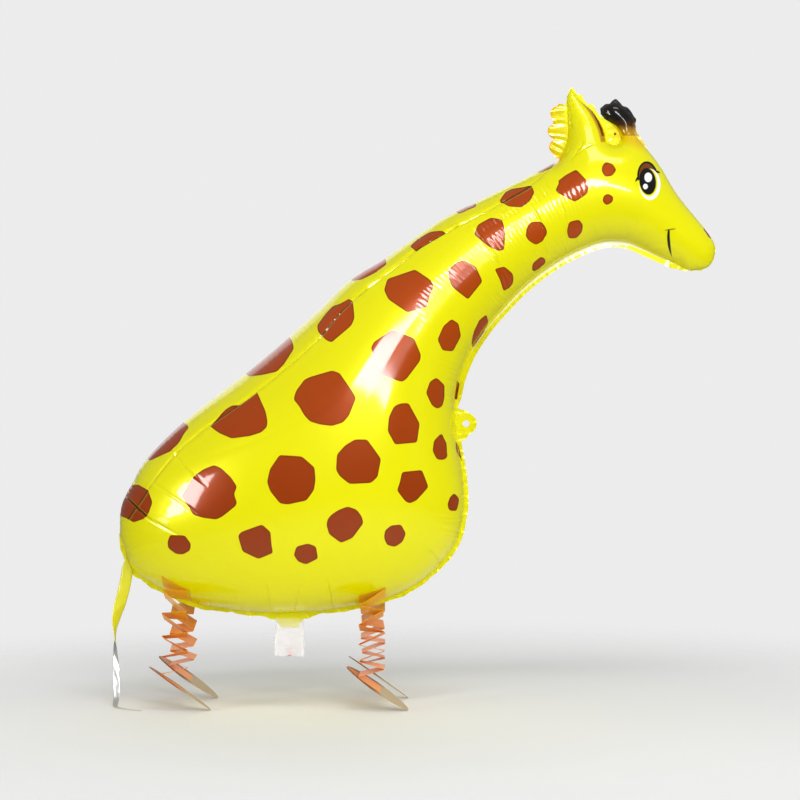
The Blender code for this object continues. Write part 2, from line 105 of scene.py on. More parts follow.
def border_line(faces):
    """The longest closed border of a set of faces, with the faces on its left."""
    directed = {(a, b) for face in faces for a, b in zip(face, face[1:] + face[:1])}
    ahead = {}
    for a, b in sorted(directed):
        if (b, a) not in directed:
            ahead.setdefault(a, []).append(b)
    lines = []
    while ahead:
        point = min(ahead)
        line = []
        while point in ahead:
            line.append(point)
            following = ahead[point].pop()
            if not ahead[point]:
                del ahead[point]
            point = following
        lines.append(line)
    return max(lines, key=len)


def smooth_run(points, step):
    """An even, smooth run of points through a rough one."""
    gaps = np.linalg.norm(np.diff(points, axis=0), axis=1)
    slopes = np.diff(points, axis=0) / gaps[:, None]
    if len(points) > 2:
        before, after = gaps[:-1, None], gaps[1:, None]
        inner = (slopes[:-1] * after + slopes[1:] * before) / (before + after)
        first = 1.5 * slopes[0] - 0.5 * inner[0]
        last = 1.5 * slopes[-1] - 0.5 * inner[-1]
        tangents = np.concatenate([[first], inner, [last]])
    else:
        tangents = np.concatenate([slopes, slopes])
    fine = []
    for k, gap in enumerate(gaps):
        t = np.linspace(0.0, 1.0, 12, endpoint=False)[:, None]
        fine.append((2 * t ** 3 - 3 * t ** 2 + 1) * points[k] + (t ** 3 - 2 * t ** 2 + t) * gap * tangents[k]
                    + (3 * t ** 2 - 2 * t ** 3) * points[k + 1] + (t ** 3 - t ** 2) * gap * tangents[k + 1])
    fine = np.concatenate([*fine, points[-1:]])
    along = np.concatenate([[0.0], np.cumsum(np.linalg.norm(np.diff(fine, axis=0), axis=1))])
    wanted = np.linspace(0.0, along[-1], max(2, round(along[-1] / step)) + 1)
    return np.stack([np.interp(wanted, along, column) for column in fine.T], axis=1)


def inside(line, points):
    """Whether each point lies inside a closed line."""
    result = np.zeros(len(points), dtype=bool)
    for (x0, z0), (x1, z1) in zip(line, np.roll(line, -1, axis=0)):
        crosses = (z0 > points[:, 1]) != (z1 > points[:, 1])
        rise = z1 - z0 if z1 != z0 else 1.0
        result ^= crosses & (points[:, 0] < x0 + (points[:, 1] - z0) * (x1 - x0) / rise)
    return result


def tree_of(points):
    """A lookup of the nearest of some flat points."""
    tree = KDTree(len(points))
    for k, point in enumerate(points):
        tree.insert((*point, 0.0), k)
    tree.balance()
    return tree


def nearest(tree, points):
    """Number and distance of the nearest looked-up point, for each point."""
    found = [tree.find((*point, 0.0)) for point in points]
    return np.array([f[1] for f in found]), np.array([f[2] for f in found])


def left_of(along):
    """The ways to the left of some ways, one metre long."""
    return np.stack([-along[:, 1], along[:, 0]], axis=1) / np.linalg.norm(along, axis=1)[:, None]


def left_of_loop(line):
    """The way to the left at each point of a closed line."""
    return left_of(np.roll(line, -1, axis=0) - np.roll(line, 1, axis=0))


cad_foil = bmesh.new()
cad_foil.from_mesh(frame["nodes"]["balloon"].data)
bmesh.ops.remove_doubles(cad_foil, verts=cad_foil.verts, dist=TOUCHING)
cad_foil.verts.index_update()
cad_foil.verts.ensure_lookup_table()
flat_side = max(v.co.y for v in cad_foil.verts if v.co.y < 0)
near_faces = [tuple(v.index for v in face.verts) for face in cad_foil.faces
              if max(v.co.y for v in face.verts) < 0]
deep = {v.index for v in cad_foil.verts if v.co.y < flat_side - TOUCHING}
chamber_faces = [face for face in near_faces if deep & set(face)]


def drawn(faces):
    """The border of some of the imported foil's faces drawn flat, even and smooth but for its corners."""
    points = np.array([tuple(cad_foil.verts[k].co.xz) for k in border_line(faces)])
    ahead = np.roll(points, -1, axis=0) - points
    heading = np.arctan2(ahead[:, 1], ahead[:, 0])
    turn = (heading - np.roll(heading, 1) + math.pi) % (2 * math.pi) - math.pi
    corners = np.flatnonzero(np.abs(turn) > CORNER_TURN)
    runs = []
    for start, end in zip(corners, [*corners[1:], corners[0] + len(points)]):
        run = points[np.arange(start, end + 1) % len(points)]
        runs.append(smooth_run(run, SEAM_STEP)[:-1])
    return np.concatenate(runs)


seam = drawn(chamber_faces)
cut_edge = drawn(near_faces)

# The tab's round eye closes up with the foil round it, and its hole is round.
TAB_JOIN = 0.0004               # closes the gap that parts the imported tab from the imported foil
tab_low, tab_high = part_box("string_tab")
tab_centre = 0.5 * (tab_low.xz + tab_high.xz)
tab_radius = 0.5 * (tab_high.x - tab_low.x) + TAB_JOIN
hole_radius = min((v.co.xz - tab_centre).length for v in frame["nodes"]["string_tab"].data.vertices)


def ring_of(centre, radius, step):
    """A round line of evenly spaced points."""
    count = max(12, round(2 * math.pi * radius / step))
    turns = np.arange(count) * 2 * math.pi / count
    return np.stack([centre.x + radius * np.cos(turns), centre.y + radius * np.sin(turns)], axis=1)


# The trim was cut by hand: places in the picture where its edge stands out or in, by how many metres, and
# over what half-length.
NICKS = [((616, 99.5), 0.0022, 0.0030), ((608.5, 101), -0.0026, 0.0036), ((601.0, 109), 0.0014, 0.0024),
         ((625, 103), -0.0020, 0.0040), ((635, 120), 0.0016, 0.0030), ((571, 90), 0.0012, 0.0036),
         ((576.5, 94), -0.0024, 0.0020), ((581, 95), 0.0016, 0.0026), ((588, 102.5), -0.0032, 0.0020),
         ((594, 107), 0.0014, 0.0034), ((568, 104), 0.0010, 0.0030), ((700, 268), 0.0016, 0.0030),
         ((706, 267), -0.0004, 0.0024), ((712, 259), 0.0010, 0.0034), ((715, 250), 0.0012, 0.0040),
         ((692, 270), 0.0010, 0.0030), ((273, 617), 0.0040, 0.0085), ((306, 617), 0.0040, 0.0085),
         ((150, 590), 0.0016, 0.0050), ((141, 580), -0.0014, 0.0036), ((165, 599), -0.0010, 0.0040),
         ((205, 608), 0.0012, 0.0070), ((232, 612), -0.0016, 0.0040), ((250, 614), 0.0010, 0.0060),
         ((322, 612), -0.0014, 0.0060), ((345, 609), 0.0010, 0.0060), ((402, 596), 0.0012, 0.0060),
         ((430, 575), -0.0010, 0.0050), ((447, 556), 0.0008, 0.0050), ((460, 520), -0.0009, 0.0050)]
cut_tree = tree_of(cut_edge)
edge_numbers = np.arange(len(cut_edge))
stand_out = np.zeros(len(cut_edge))
for pixel, push, half_length in NICKS:
    middle = cut_tree.find((*at_pixel(pixel), 0.0))[1]
    away = (edge_numbers - middle + len(cut_edge) / 2) % len(cut_edge) - len(cut_edge) / 2
    stand_out += push * np.exp(-(away * SEAM_STEP / half_length) ** 2)
cut_edge = cut_edge - stand_out[:, None] * left_of_loop(cut_edge)

tab_edge = ring_of(tab_centre, tab_radius, SEAM_STEP)
hole_edge = ring_of(tab_centre, hole_radius, 0.6 * SEAM_STEP)

near_foil = BVHTree.FromPolygons([v.co for v in cad_foil.verts], near_faces)


def on_foil(pixel):
    """The flat place of the foil that shows at a place in the picture."""
    right, up = at_pixel(pixel)
    sight = Vector((right, 0.0, up)) - CAMERA
    hit = near_foil.ray_cast(CAMERA, sight)[0]
    return hit.xz if hit else Vector((right, up))


# The print's spots, each a rounded irregular shape, by the corners that show in the picture.
SPOTS = [
    [(137.5, 484), (148, 490), (152.5, 502), (149, 512.5), (144.5, 518.5), (133.5, 522.5), (127, 518.5),
     (116, 514), (118, 497), (131, 486)],
    [(149.5, 461), (158, 457), (170, 451.5), (179.5, 442), (184, 434), (189, 427), (182, 420), (160, 424),
     (138, 450)],
    [(170, 535), (185, 535.5), (191, 544), (190, 550.5), (183, 554.5), (176, 554), (168, 548), (167.5, 542)],
    [(214, 465), (221, 468), (231, 477.5), (237, 486.5), (234, 494), (237, 503), (235, 506.5),
     (222.5, 516.5), (216.5, 519.5), (203.5, 518), (193.5, 515), (181.5, 495.5), (194.5, 475.5),
     (203, 469.5)],
    [(208.9, 425.4), (219, 416), (226, 409), (232, 405.5), (239, 404), (256.7, 391), (261, 401),
     (265.5, 411), (267.5, 421), (267, 427), (261, 432.5), (250, 436), (231.5, 438.5), (219, 433)],
    [(238, 536), (241, 532), (262, 524.5), (270.5, 532), (271.5, 545), (273, 553), (258.5, 559),
     (242.5, 551.5)],
    [(279.5, 455), (302, 456.5), (314.5, 467.5), (315.5, 480), (314, 490), (306.5, 500.5), (288, 504.5),
     (280, 503.5), (270, 491), (267, 482), (270, 469)],
    [(296.5, 546.5), (308, 543.5), (316, 546.5), (318, 558.5), (306, 564.5), (298, 561.5), (293.7, 555)],
    [(249.5, 376.5), (262, 375), (277, 371.5), (284, 364), (294, 348.5), (292, 340.5), (284, 330),
     (238, 368)],
    [(332, 370.5), (339.5, 373), (352, 391), (356, 398), (349, 415.5), (343, 422.5), (332, 426),
     (320, 424.5), (310, 421.5), (304, 415), (299, 406), (293.5, 399.5), (296, 391), (304.5, 379.5),
     (310, 377)],
    [(347.5, 506.5), (356.5, 509.5), (361.5, 516), (363.5, 523), (352.5, 538), (341, 543), (329, 534),
     (326.5, 525), (327.5, 519.5), (331, 515), (338.5, 510)],
    [(355, 439.5), (367, 439.5), (374, 449), (381, 459), (377.5, 477), (371, 483), (349.5, 484),
     (340, 476.5), (336, 470), (337, 454.5), (345, 445.5)],
    [(349, 298.5), (353, 301.5), (354.5, 318), (351.5, 325.5), (331.5, 342.5), (326.5, 340.5), (318, 332),
     (317, 325.5), (325, 314.5), (333, 306), (340.5, 303.5)],
    [(392.5, 329.5), (414, 338.5), (421, 355), (420, 361), (406.5, 379), (402, 382), (387, 377),
     (378.5, 373.5), (371, 347.5), (374, 342)],
    [(415, 269.5), (430.5, 280), (434, 286.5), (430.5, 293.5), (427, 307), (407.5, 312.5), (388.5, 299.5),
     (384, 290), (387.5, 279)],
    [(352, 281), (362, 279.5), (374, 273.5), (386.5, 264.5), (385, 257), (370, 252), (345, 270)],
    [(391, 525.5), (401, 524.5), (406, 533.5), (402.5, 542), (395, 547), (387, 545), (384, 538),
     (385, 530.5)],
    [(402, 472), (422, 470), (428.5, 487), (417, 500), (410, 503.5), (405.5, 501.5), (397, 490.5),
     (400, 482)],
    [(400, 403.5), (408.5, 403), (419.7, 423.5), (417, 442.5), (395, 444.5), (387.7, 431), (389, 417),
     (394, 406.5)],
    [(436.5, 377.5), (444.5, 385), (444.5, 398), (442.5, 406), (437.5, 409), (432, 405.5), (426, 393),
     (430, 381.5)],
    [(451.5, 319), (458.5, 323.5), (461, 336.5), (453, 351.5), (442.5, 350.5), (437.5, 339.5), (443.5, 326)],
    [(464, 260), (476, 267), (482.5, 281.5), (468, 299.5), (452, 287), (448, 277), (448.5, 269.5),
     (457, 262)],
    [(409.5, 246.5), (416.5, 251), (422, 247.5), (437, 239), (446, 232), (440, 230.5), (430, 232),
     (419, 238)],
    [(441.5, 433), (446.5, 443), (447.5, 457.5), (443, 460), (437, 459.5), (432.5, 451), (434, 440.5)],
    [(454, 493), (459, 497.5), (459, 503), (456.5, 511), (449, 510.5), (447.5, 504.5), (450, 497)],
    [(494.5, 269), (504.5, 266.5), (513, 274), (513.5, 282), (510.5, 287.5), (503.5, 291.5), (500, 280)],
    [(486.5, 314.5), (488.5, 323), (484, 331.5), (479, 339), (472.5, 348.5), (471.5, 342), (474, 331),
     (479.5, 320)],
    [(491, 217.5), (502, 219.5), (505.5, 232), (504, 250), (498, 251), (488, 246), (474, 234.5),
     (478, 224.5)],
    [(499, 201.5), (504.5, 193), (511, 189), (524, 187), (531, 185), (534.5, 192.5), (530, 201),
     (521.5, 207.5), (509, 206.5)],
    [(531, 222), (541, 221.5), (545, 226), (547.5, 232.5), (543, 241), (536, 245), (529, 241), (525.5, 236),
     (527, 227)],
    [(541.5, 256.5), (545.5, 259.5), (545, 264), (535, 271.5), (531.5, 270), (533, 263)],
    [(569, 222), (579, 219.5), (583, 225), (582, 232), (576.5, 238.5), (568.5, 238.5), (567, 231)],
    [(576, 169.5), (589.5, 183.5), (587, 194), (575, 202), (558, 193), (555.5, 190), (559, 183), (558, 181),
     (565, 175.5)],
    [(606, 162), (612.5, 164), (616.5, 170), (612, 176), (605, 177), (601.5, 171), (602.5, 165)],
    [(608, 193.5), (613.5, 197), (612.5, 202), (606.5, 205.5), (602.5, 201.5), (603.5, 196)],
    [(455, 211), (476, 203), (476, 206.5), (458, 214)],
    [(534, 171), (556, 160.5), (552, 167.5), (540, 173)],
    [(653, 155), (659, 159), (658, 162), (655, 160.5)],
    [(457, 380), (459.5, 383), (457, 400), (454.5, 399)],
    [(455.5, 440), (458.5, 446), (462.5, 462), (456.5, 452)],
    [(703, 227), (713, 238), (709.5, 238.5), (703.5, 229.5)],
]
# The black horn's print, by the same kind of corners, drawn past the foil's edge where it fills the horn.
HORN = [(598, 112), (604, 99), (616, 96), (640, 108), (643, 126), (639, 137), (623, 137), (620, 130.5),
        (615.5, 125.5), (609, 121.5), (605, 119.5), (601.5, 115)]
CORNER_ROUND = 0.0030           # how far from a corner of a spot its rounding starts
CORNER_SHARE = 0.42             # or the share of the way to the next corner, where that is less
PRINT_STEP = 0.0012


def steps_between(start, end):
    """Evenly spaced points between two points, without the two."""
    count = max(1, round((end - start).length / PRINT_STEP))
    return [start.lerp(end, k / count) for k in range(1, count)]


def rounded(corners):
    """A closed line with its corners rounded, as points a step apart."""
    line = []
    for before, corner, after in zip([corners[-1], *corners[:-1]], corners, [*corners[1:], corners[0]]):
        start, end = (corner + min(CORNER_ROUND, CORNER_SHARE * way.length) * way.normalized()
                      for way in (before - corner, after - corner))
        if line:
            line.extend(steps_between(line[-1], start))
        for k in range(4):
            t = k / 3
            line.append((1 - t) ** 2 * start + 2 * t * (1 - t) * corner + t ** 2 * end)
    return line + steps_between(line[-1], line[0])


def printed(pixels):
    """A print shape's closed line on the flat foil, run so that its inside is on the left."""
    points = np.array([tuple(p) for p in rounded([on_foil(p) for p in pixels])])
    ahead = np.roll(points, -1, axis=0)
    area = (points[:, 0] * ahead[:, 1] - ahead[:, 0] * points[:, 1]).sum()
    return points if area > 0 else points[::-1]


spots = [printed(pixels) for pixels in SPOTS]
horn = printed(HORN)

# Creases that cross the foil, by places in the picture, with their depth and half-width in metres. The first
# is the long tuck that runs beside the back, and the second a tuck across the rump.
CREASES = [
    ([(128, 519), (139, 503), (160, 472), (182, 447), (208.9, 425.4), (232, 409), (256.7, 391), (290, 364),
      (322.4, 333.6), (340, 312), (362, 292), (390, 270), (420, 247), (454.3, 227.3), (505.2, 200.5),
      (531, 185.4), (555, 163)], 0.0034, 0.0013),
    ([(126, 494), (136, 507), (147, 517), (162, 527)], 0.0022, 0.0011),
    ([(143, 473), (160, 488), (182, 503), (205, 520)], 0.0007, 0.0016),
    ([(166, 447), (180, 461), (196, 477), (208, 487)], 0.0008, 0.0012),
    ([(152, 520), (170, 531), (184, 538)], 0.0006, 0.0012),
    ([(470, 222), (486, 244), (500, 266), (512, 290)], 0.0008, 0.0014),
    ([(494, 250), (500, 272), (506, 292)], 0.0010, 0.0012),
    ([(530, 205), (541, 224), (546, 245), (549, 262)], 0.0010, 0.0013),
    ([(560, 200), (566, 222), (568, 246)], 0.0006, 0.0012),
    ([(200, 460), (250, 442), (310, 415), (352, 390)], 0.0004, 0.0030),
    ([(294, 614), (297, 600), (299, 586)], 0.0009, 0.0010),
    ([(334, 612), (331, 594), (328, 578)], 0.0011, 0.0011),
    ([(270, 610), (268, 594), (265, 580)], 0.0008, 0.0011),
    ([(446, 572), (434, 556), (424, 546)], 0.0009, 0.0012),
    ([(452, 562), (441, 548)], 0.0007, 0.0010),
    ([(570, 162), (578, 150), (584, 138)], 0.0012, 0.0012),
    ([(563, 158), (572, 146)], 0.0010, 0.0010),
    ([(574, 156), (588, 146), (596, 143)], 0.0012, 0.0010),
    ([(640, 252), (655, 246), (668, 243)], 0.0005, 0.0014),
]
CREASE_STEP = 0.0018
CREASE_ROWS = (-3.2, -1.7, -0.7, 0.0, 0.7, 1.7, 3.2)    # where points lie beside a crease, in half-widths
creases = [(smooth_run(np.array([tuple(on_foil(p)) for p in pixels]), CREASE_STEP), depth, width)
           for pixels, depth, width in CREASES]

# The flat pattern: rows of points along the weld on both sides, rows beside each crease, and an even grid.
RING_COUNT = 13                 # rows of points that follow the weld, closer together near it
RING_REACH = 0.032
FULL_RINGS = 5                  # rows that take all the weld's points, where the others take half of them
MORE_RINGS = [RING_REACH + 0.0038 * k for k in range(1, 5)]     # further rows, along the neck and the rump
ROW_CLEAR = 0.96                # share of its distance that a row's points must keep from the weld
SURFACE_STEP = 0.0046           # spacing of points over the rest of the foil
GRID_CLEAR = 0.55               # how close the grid comes to the rows, in such steps
CREASE_CLEAR = 0.0015
TRIM_ROWS = (0.0014, 0.0028, 0.0042, 0.0056)    # rows over the flat trim, from the weld
TRIM_STEP = 0.0022
TRIM_CLEAR = 0.0066
EDGE_CLEAR = (0.0008, 0.0012)   # how far the trim's rows and its grid keep from the cut edge
inward = left_of_loop(seam)
seam_tree = tree_of(seam)
cut_tree = tree_of(np.concatenate([cut_edge, tab_edge]))
numbers = np.arange(len(seam))


def seam_place(pixel):
    """The number of the weld's point nearest to a place in the picture."""
    return seam_tree.find((*at_pixel(pixel), 0.0))[1]


def between(first, last):
    """Which of the weld's points lie from one place in the picture round to another, foil on the left."""
    start, end = seam_place(first), seam_place(last)
    return (numbers - start) % len(seam) <= (end - start) % len(seam)


def weld_length(first, last):
    """Length of the weld from one place in the picture round to another."""
    return (seam_place(last) - seam_place(first)) % len(seam) * SEAM_STEP


def clear_of(tree, points, gap):
    """Those of some points that lie further than a gap from the looked-up ones."""
    return points[nearest(tree, points)[1] > gap]


NECK_STRETCH = between((455, 411), (640, 247))
RUMP_STRETCH = between((140, 470), (150, 590))
even = numbers % 2 == 0
rings = [(RING_REACH * (k / RING_COUNT) ** 2, NECK_STRETCH | even | (k <= FULL_RINGS))
         for k in range(1, RING_COUNT + 1)]
rings += [(away, NECK_STRETCH | (RUMP_STRETCH & even)) for away in MORE_RINGS]
grid_points = []
for away, chosen in rings:
    points = seam[chosen] + away * inward[chosen]
    grid_points.append(clear_of(seam_tree, points[inside(seam, points)], ROW_CLEAR * away))
ring_tree = tree_of(np.concatenate(grid_points))

for line, _, width in creases:
    across = left_of(np.gradient(line, axis=0))
    points = np.concatenate([line + row * width * across for row in CREASE_ROWS])
    grid_points.append(clear_of(seam_tree, points[inside(seam, points)], CREASE_CLEAR))

low, high = seam.min(axis=0), seam.max(axis=0)
grid = [(right, up) for k, up in enumerate(np.arange(low[1], high[1], SURFACE_STEP * math.sqrt(0.75)))
        for right in np.arange(low[0] + 0.5 * (k % 2) * SURFACE_STEP, high[0], SURFACE_STEP)]
grid = np.array(grid)
grid_points.append(clear_of(ring_tree, grid[inside(seam, grid)], GRID_CLEAR * SURFACE_STEP))

for away in TRIM_ROWS:
    points = seam - away * inward
    points = clear_of(seam_tree, points[inside(cut_edge, points) & ~inside(seam, points)], ROW_CLEAR * away)
    grid_points.append(clear_of(cut_tree, points, EDGE_CLEAR[0]))
low, high = cut_edge.min(axis=0), cut_edge.max(axis=0)
trim = np.stack(np.meshgrid(np.arange(low[0], high[0] + 0.02, TRIM_STEP),
                            np.arange(low[1], high[1], TRIM_STEP)), axis=-1).reshape(-1, 2)
trim = trim[inside(cut_edge, trim) | inside(tab_edge, trim)]
trim = trim[~inside(seam, trim) & ~inside(hole_edge, trim)]
grid_points.append(clear_of(cut_tree, clear_of(seam_tree, trim, TRIM_CLEAR), EDGE_CLEAR[1]))

shapes = [cut_edge, seam, tab_edge, hole_edge, *spots, horn]
CUT_SHAPE, SEAM_SHAPE, TAB_SHAPE, HOLE_SHAPE = range(4)
ends = np.cumsum([len(s) for s in shapes])
outlines = [list(range(end - len(s), end)) for s, end in zip(shapes, ends)]
flat_input = [Vector(p) for p in np.concatenate([*shapes, *grid_points])]
flat, _, triangles, _, _, sources = delaunay_2d_cdt(flat_input, [], outlines, 1, 1e-6)
kept = [(t, SEAM_SHAPE in s) for t, s in zip(triangles, sources)
        if {CUT_SHAPE, SEAM_SHAPE, TAB_SHAPE} & set(s) and HOLE_SHAPE not in s]
triangles = np.array([t for t, _ in kept])
blown = np.array([b for _, b in kept])
used, triangles = np.unique(triangles, return_inverse=True)
flat = np.array([tuple(p) for p in flat])[used]
triangles = triangles.reshape(-1, 3)
corners = flat[triangles]
side_a, side_b = corners[:, 1] - corners[:, 0], corners[:, 2] - corners[:, 0]
twice_area = side_a[:, 0] * side_b[:, 1] - side_a[:, 1] * side_b[:, 0]
triangles[twice_area < 0] = triangles[twice_area < 0][:, ::-1]
count = len(flat)
weld_number, weld_distance = nearest(seam_tree, flat)
weld_distance[weld_distance < TOUCHING] = 0.0
weld_place = weld_number * SEAM_STEP


def blown_depth():
    """Half the depth of the blown-up foil over each point of the flat pattern.

    An evenly loaded membrane held at the weld gives the form, which is a circle across a long tube. Its
    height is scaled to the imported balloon's, so both have the same depth.
    """
    chamber = triangles[blown]
    start, end, pull = [], [], []
    load = np.zeros(count)
    for k in range(3):
        i, j, opposite = chamber[:, k], chamber[:, (k + 1) % 3], flat[chamber[:, (k + 2) % 3]]
        u, v = flat[i] - opposite, flat[j] - opposite
        area = np.maximum(np.abs(u[:, 0] * v[:, 1] - u[:, 1] * v[:, 0]), 1e-12)
        start.append(i)
        end.append(j)
        pull.append(0.5 * (u * v).sum(axis=1) / area)
        load += np.bincount(i, area / 6.0, count)
    start, end, pull = np.concatenate(start), np.concatenate(end), np.concatenate(pull)
    diagonal = np.bincount(start, pull, count) + np.bincount(end, pull, count)
    held = np.ones(count, dtype=bool)
    held[chamber] = False
    held[triangles[~blown]] = True
    held[weld_distance == 0.0] = True

    def tension(height):
        """How hard the foil pulls back at each free point."""
        result = diagonal * height
        result -= np.bincount(start, pull * height[end], count)
        result -= np.bincount(end, pull * height[start], count)
        result[held] = 0.0
        return result

    height = np.zeros(count)
    load[held] = 0.0
    rest = load.copy()
    scale = np.where(np.abs(diagonal) > 1e-9, diagonal, 1.0)
    step = rest / scale
    spread = rest @ step
    enough = 1e-12 * (load @ step)
    for _ in range(4000):
        stretched = tension(step)
        length = spread / (step @ stretched)
        height += length * step
        rest -= length * stretched
        eased = rest / scale
        following = rest @ eased
        if following < enough:
            break
        step = eased + following / spread * step
        spread = following
    depth = np.sqrt(np.maximum(height, 0.0))
    return depth * (flat_side - min(v.co.y for v in cad_foil.verts)) / depth.max()


depth = blown_depth()
blown_point = depth > 0

# Puckers: grooves that start at the weld and fade out over the foil. For each stretch of the weld, its two
# ends in the picture, their spacing, their reach over the foil and their depth, in metres.
PUCKERS = [
    ((455, 411), (560, 261), 0.0042, 0.040, 0.00036),
    ((560, 261), (640, 247), 0.0040, 0.040, 0.00034),
    ((640, 247), (684, 268), 0.0040, 0.030, 0.00022),
    ((684, 268), (716, 248), 0.0048, 0.013, 0.00040),
    ((716, 248), (648, 148), 0.0070, 0.020, 0.00022),
    ((648, 148), (560, 160), 0.0042, 0.012, 0.00026),
    ((560, 160), (300, 330), 0.0052, 0.030, 0.00030),
    ((300, 330), (140, 470), 0.0060, 0.036, 0.00036),
    ((140, 470), (119, 540), 0.0050, 0.050, 0.00052),
    ((119, 540), (150, 590), 0.0056, 0.044, 0.00056),
    ((150, 590), (391, 600), 0.0056, 0.034, 0.00048),
    ((391, 600), (465, 500), 0.0056, 0.040, 0.00042),
    ((465, 500), (455, 411), 0.0050, 0.030, 0.00028),
]
PUCKER_WIDTH = (0.0007, 0.0017)
PUCKER_START = 0.0015           # distance from the weld over which a pucker deepens


def puckered(seed):
    """How far the puckers of one sheet pull each point of the flat pattern inwards."""
    chance = np.random.default_rng(seed)
    pulled = np.zeros(count)
    around = len(seam) * SEAM_STEP
    begun = np.clip(weld_distance / PUCKER_START, 0.0, 1.0)
    for first, last, spacing, reach, deep_by in PUCKERS:
        start, length = seam_place(first) * SEAM_STEP, weld_length(first, last)
        at = 0.0
        while at < length:
            at += spacing * chance.uniform(0.5, 1.5)
            ends = chance.uniform(0.3, 1.0) ** 0.8 * reach
            width = chance.uniform(*PUCKER_WIDTH) * (0.7 + 0.6 * ends / reach)
            lean = chance.normal(0.0, 0.09)
            depth_here = deep_by * chance.uniform(0.4, 1.6) * (0.5 + ends / reach)
            away = (weld_place - start - at - lean * weld_distance + around / 2) % around - around / 2
            fade = np.clip(1.0 - weld_distance / ends, 0.0, 1.0) ** 0.8 * begun
            pulled += depth_here * fade * np.exp(-(np.abs(away) / width) ** 1.4)
    return pulled


def beside(line):
    """Each flat point's nearest number on an open line, its distance, and whether it is on the left."""
    number, distance = nearest(tree_of(line), flat)
    left = ((flat - line[number]) * left_of(np.gradient(line, axis=0))[number]).sum(axis=1)
    return number, distance, left > 0


def creased(lines):
    """How far the long creases pull each point inwards, steep on one side and soft on the other."""
    pulled = np.zeros(count)
    for line, deep_by, width in lines:
        number, distance, left = beside(line)
        share = number / (len(line) - 1)
        fade = deep_by * np.clip(4.0 * np.minimum(share, 1.0 - share), 0.0, 1.0)
        pulled += fade * np.exp(-distance / (width * np.where(left, 1.8, 0.9)))
        pulled -= 0.25 * fade * np.exp(-((distance - 2.4 * width) / (1.1 * width)) ** 2)
    return pulled


# The flat trim waves a little out of its plane, more away from the weld, and leans out along the throat.
TRIM_REACH = 0.007              # distance from the weld over which the wave grows
WAVE_HEIGHT = 0.00060
WAVES = [(1.0, 0.0113, 0.0), (0.7, 0.0071, 1.3), (0.6, 0.0237, 0.4)]    # share, length and start of each
THROAT_LEAN = 0.17              # how far the flat trim of the throat leans out of the weld's plane
THROAT = ((455, 411), (684, 268))
LEAN_START = 0.030              # length over which the lean grows
TONGUE_CALM = 0.008             # height over which the wave dies away above the filling neck
CALM_PLACES = ((at_pixel((600, 125)), 0.075), (tab_centre, 0.016))  # the head's trim and the tab stay flat
throat_length = weld_length(*THROAT)
along_throat = (weld_number - seam_place(THROAT[0])) % len(seam) * SEAM_STEP
throat = np.clip(along_throat / LEAN_START, 0.0, 1.0)
throat *= np.clip((throat_length - along_throat) / LEAN_START, 0.0, 1.0)
neck_low, neck_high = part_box("filling_neck")
on_tongue = (flat[:, 0] > neck_low.x) & (flat[:, 0] < neck_high.x) & (flat[:, 1] < neck_high.z + TONGUE_CALM)
calm = np.where(on_tongue, np.clip((flat[:, 1] - neck_high.z) / TONGUE_CALM, 0.0, 1.0), 1.0)
for middle, radius in CALM_PLACES:
    away = np.hypot(flat[:, 0] - middle.x, flat[:, 1] - middle.y)
    calm *= np.clip(2.0 * away / radius - 1.0, 0.15, 1.0)
calm *= 1.0 - 0.9 * throat
trim_distance = np.where(blown_point, 0.0, weld_distance)
wave = sum(share * np.sin(2 * math.pi * weld_place / length + start) for share, length, start in WAVES)
sideways = np.clip(trim_distance / TRIM_REACH, 0.0, 1.0) * wave * WAVE_HEIGHT * calm
sideways -= THROAT_LEAN * throat * trim_distance


def sheet_points(side, seed, lines):
    """The points of one sheet: blown up, pulled in along its puckers and creases, and waved at the trim."""
    points = np.stack([flat[:, 0], side * (FOIL_HALF + depth), flat[:, 1]], axis=1)
    corners = points[triangles]
    normals = np.zeros_like(points)
    spread = np.cross(corners[:, 1] - corners[:, 0], corners[:, 2] - corners[:, 0]) * -side
    for k in range(3):
        np.add.at(normals, triangles[:, k], spread * blown[:, None])
    lengths = np.linalg.norm(normals, axis=1)
    normals /= np.maximum(lengths, 1e-12)[:, None]
    pulled = puckered(seed) + creased(lines)
    inner = blown_point & (lengths > 1e-12)
    points[inner] -= (pulled[:, None] * normals)[inner]
    points[:, 1] += sideways
    return points


FAR_CREASES = creases[4:9]      # the far sheet has fewer
points = np.concatenate([sheet_points(-1, 11, creases), sheet_points(1, 23, FAR_CREASES)])
directed = np.concatenate([triangles[:, [0, 1]], triangles[:, [1, 2]], triangles[:, [2, 0]]])
keys = directed[:, 0] * count + directed[:, 1]
rim = directed[~np.isin(directed[:, 1] * count + directed[:, 0], keys)]
rim_faces = np.concatenate([np.stack([rim[:, 1], rim[:, 0], rim[:, 0] + count], axis=1),
                            np.stack([rim[:, 1], rim[:, 0] + count, rim[:, 1] + count], axis=1)])
faces = np.concatenate([triangles, triangles[:, ::-1] + count, rim_faces])
mesh = bpy.data.meshes.new("balloon_foil")
mesh.from_pydata(points.tolist(), [], faces.tolist())
mesh.shade_smooth()
mesh.set_sharp_from_angle(angle=math.radians(62))
balloon = bpy.data.objects.new("balloon_foil", mesh)
bpy.context.scene.collection.objects.link(balloon)


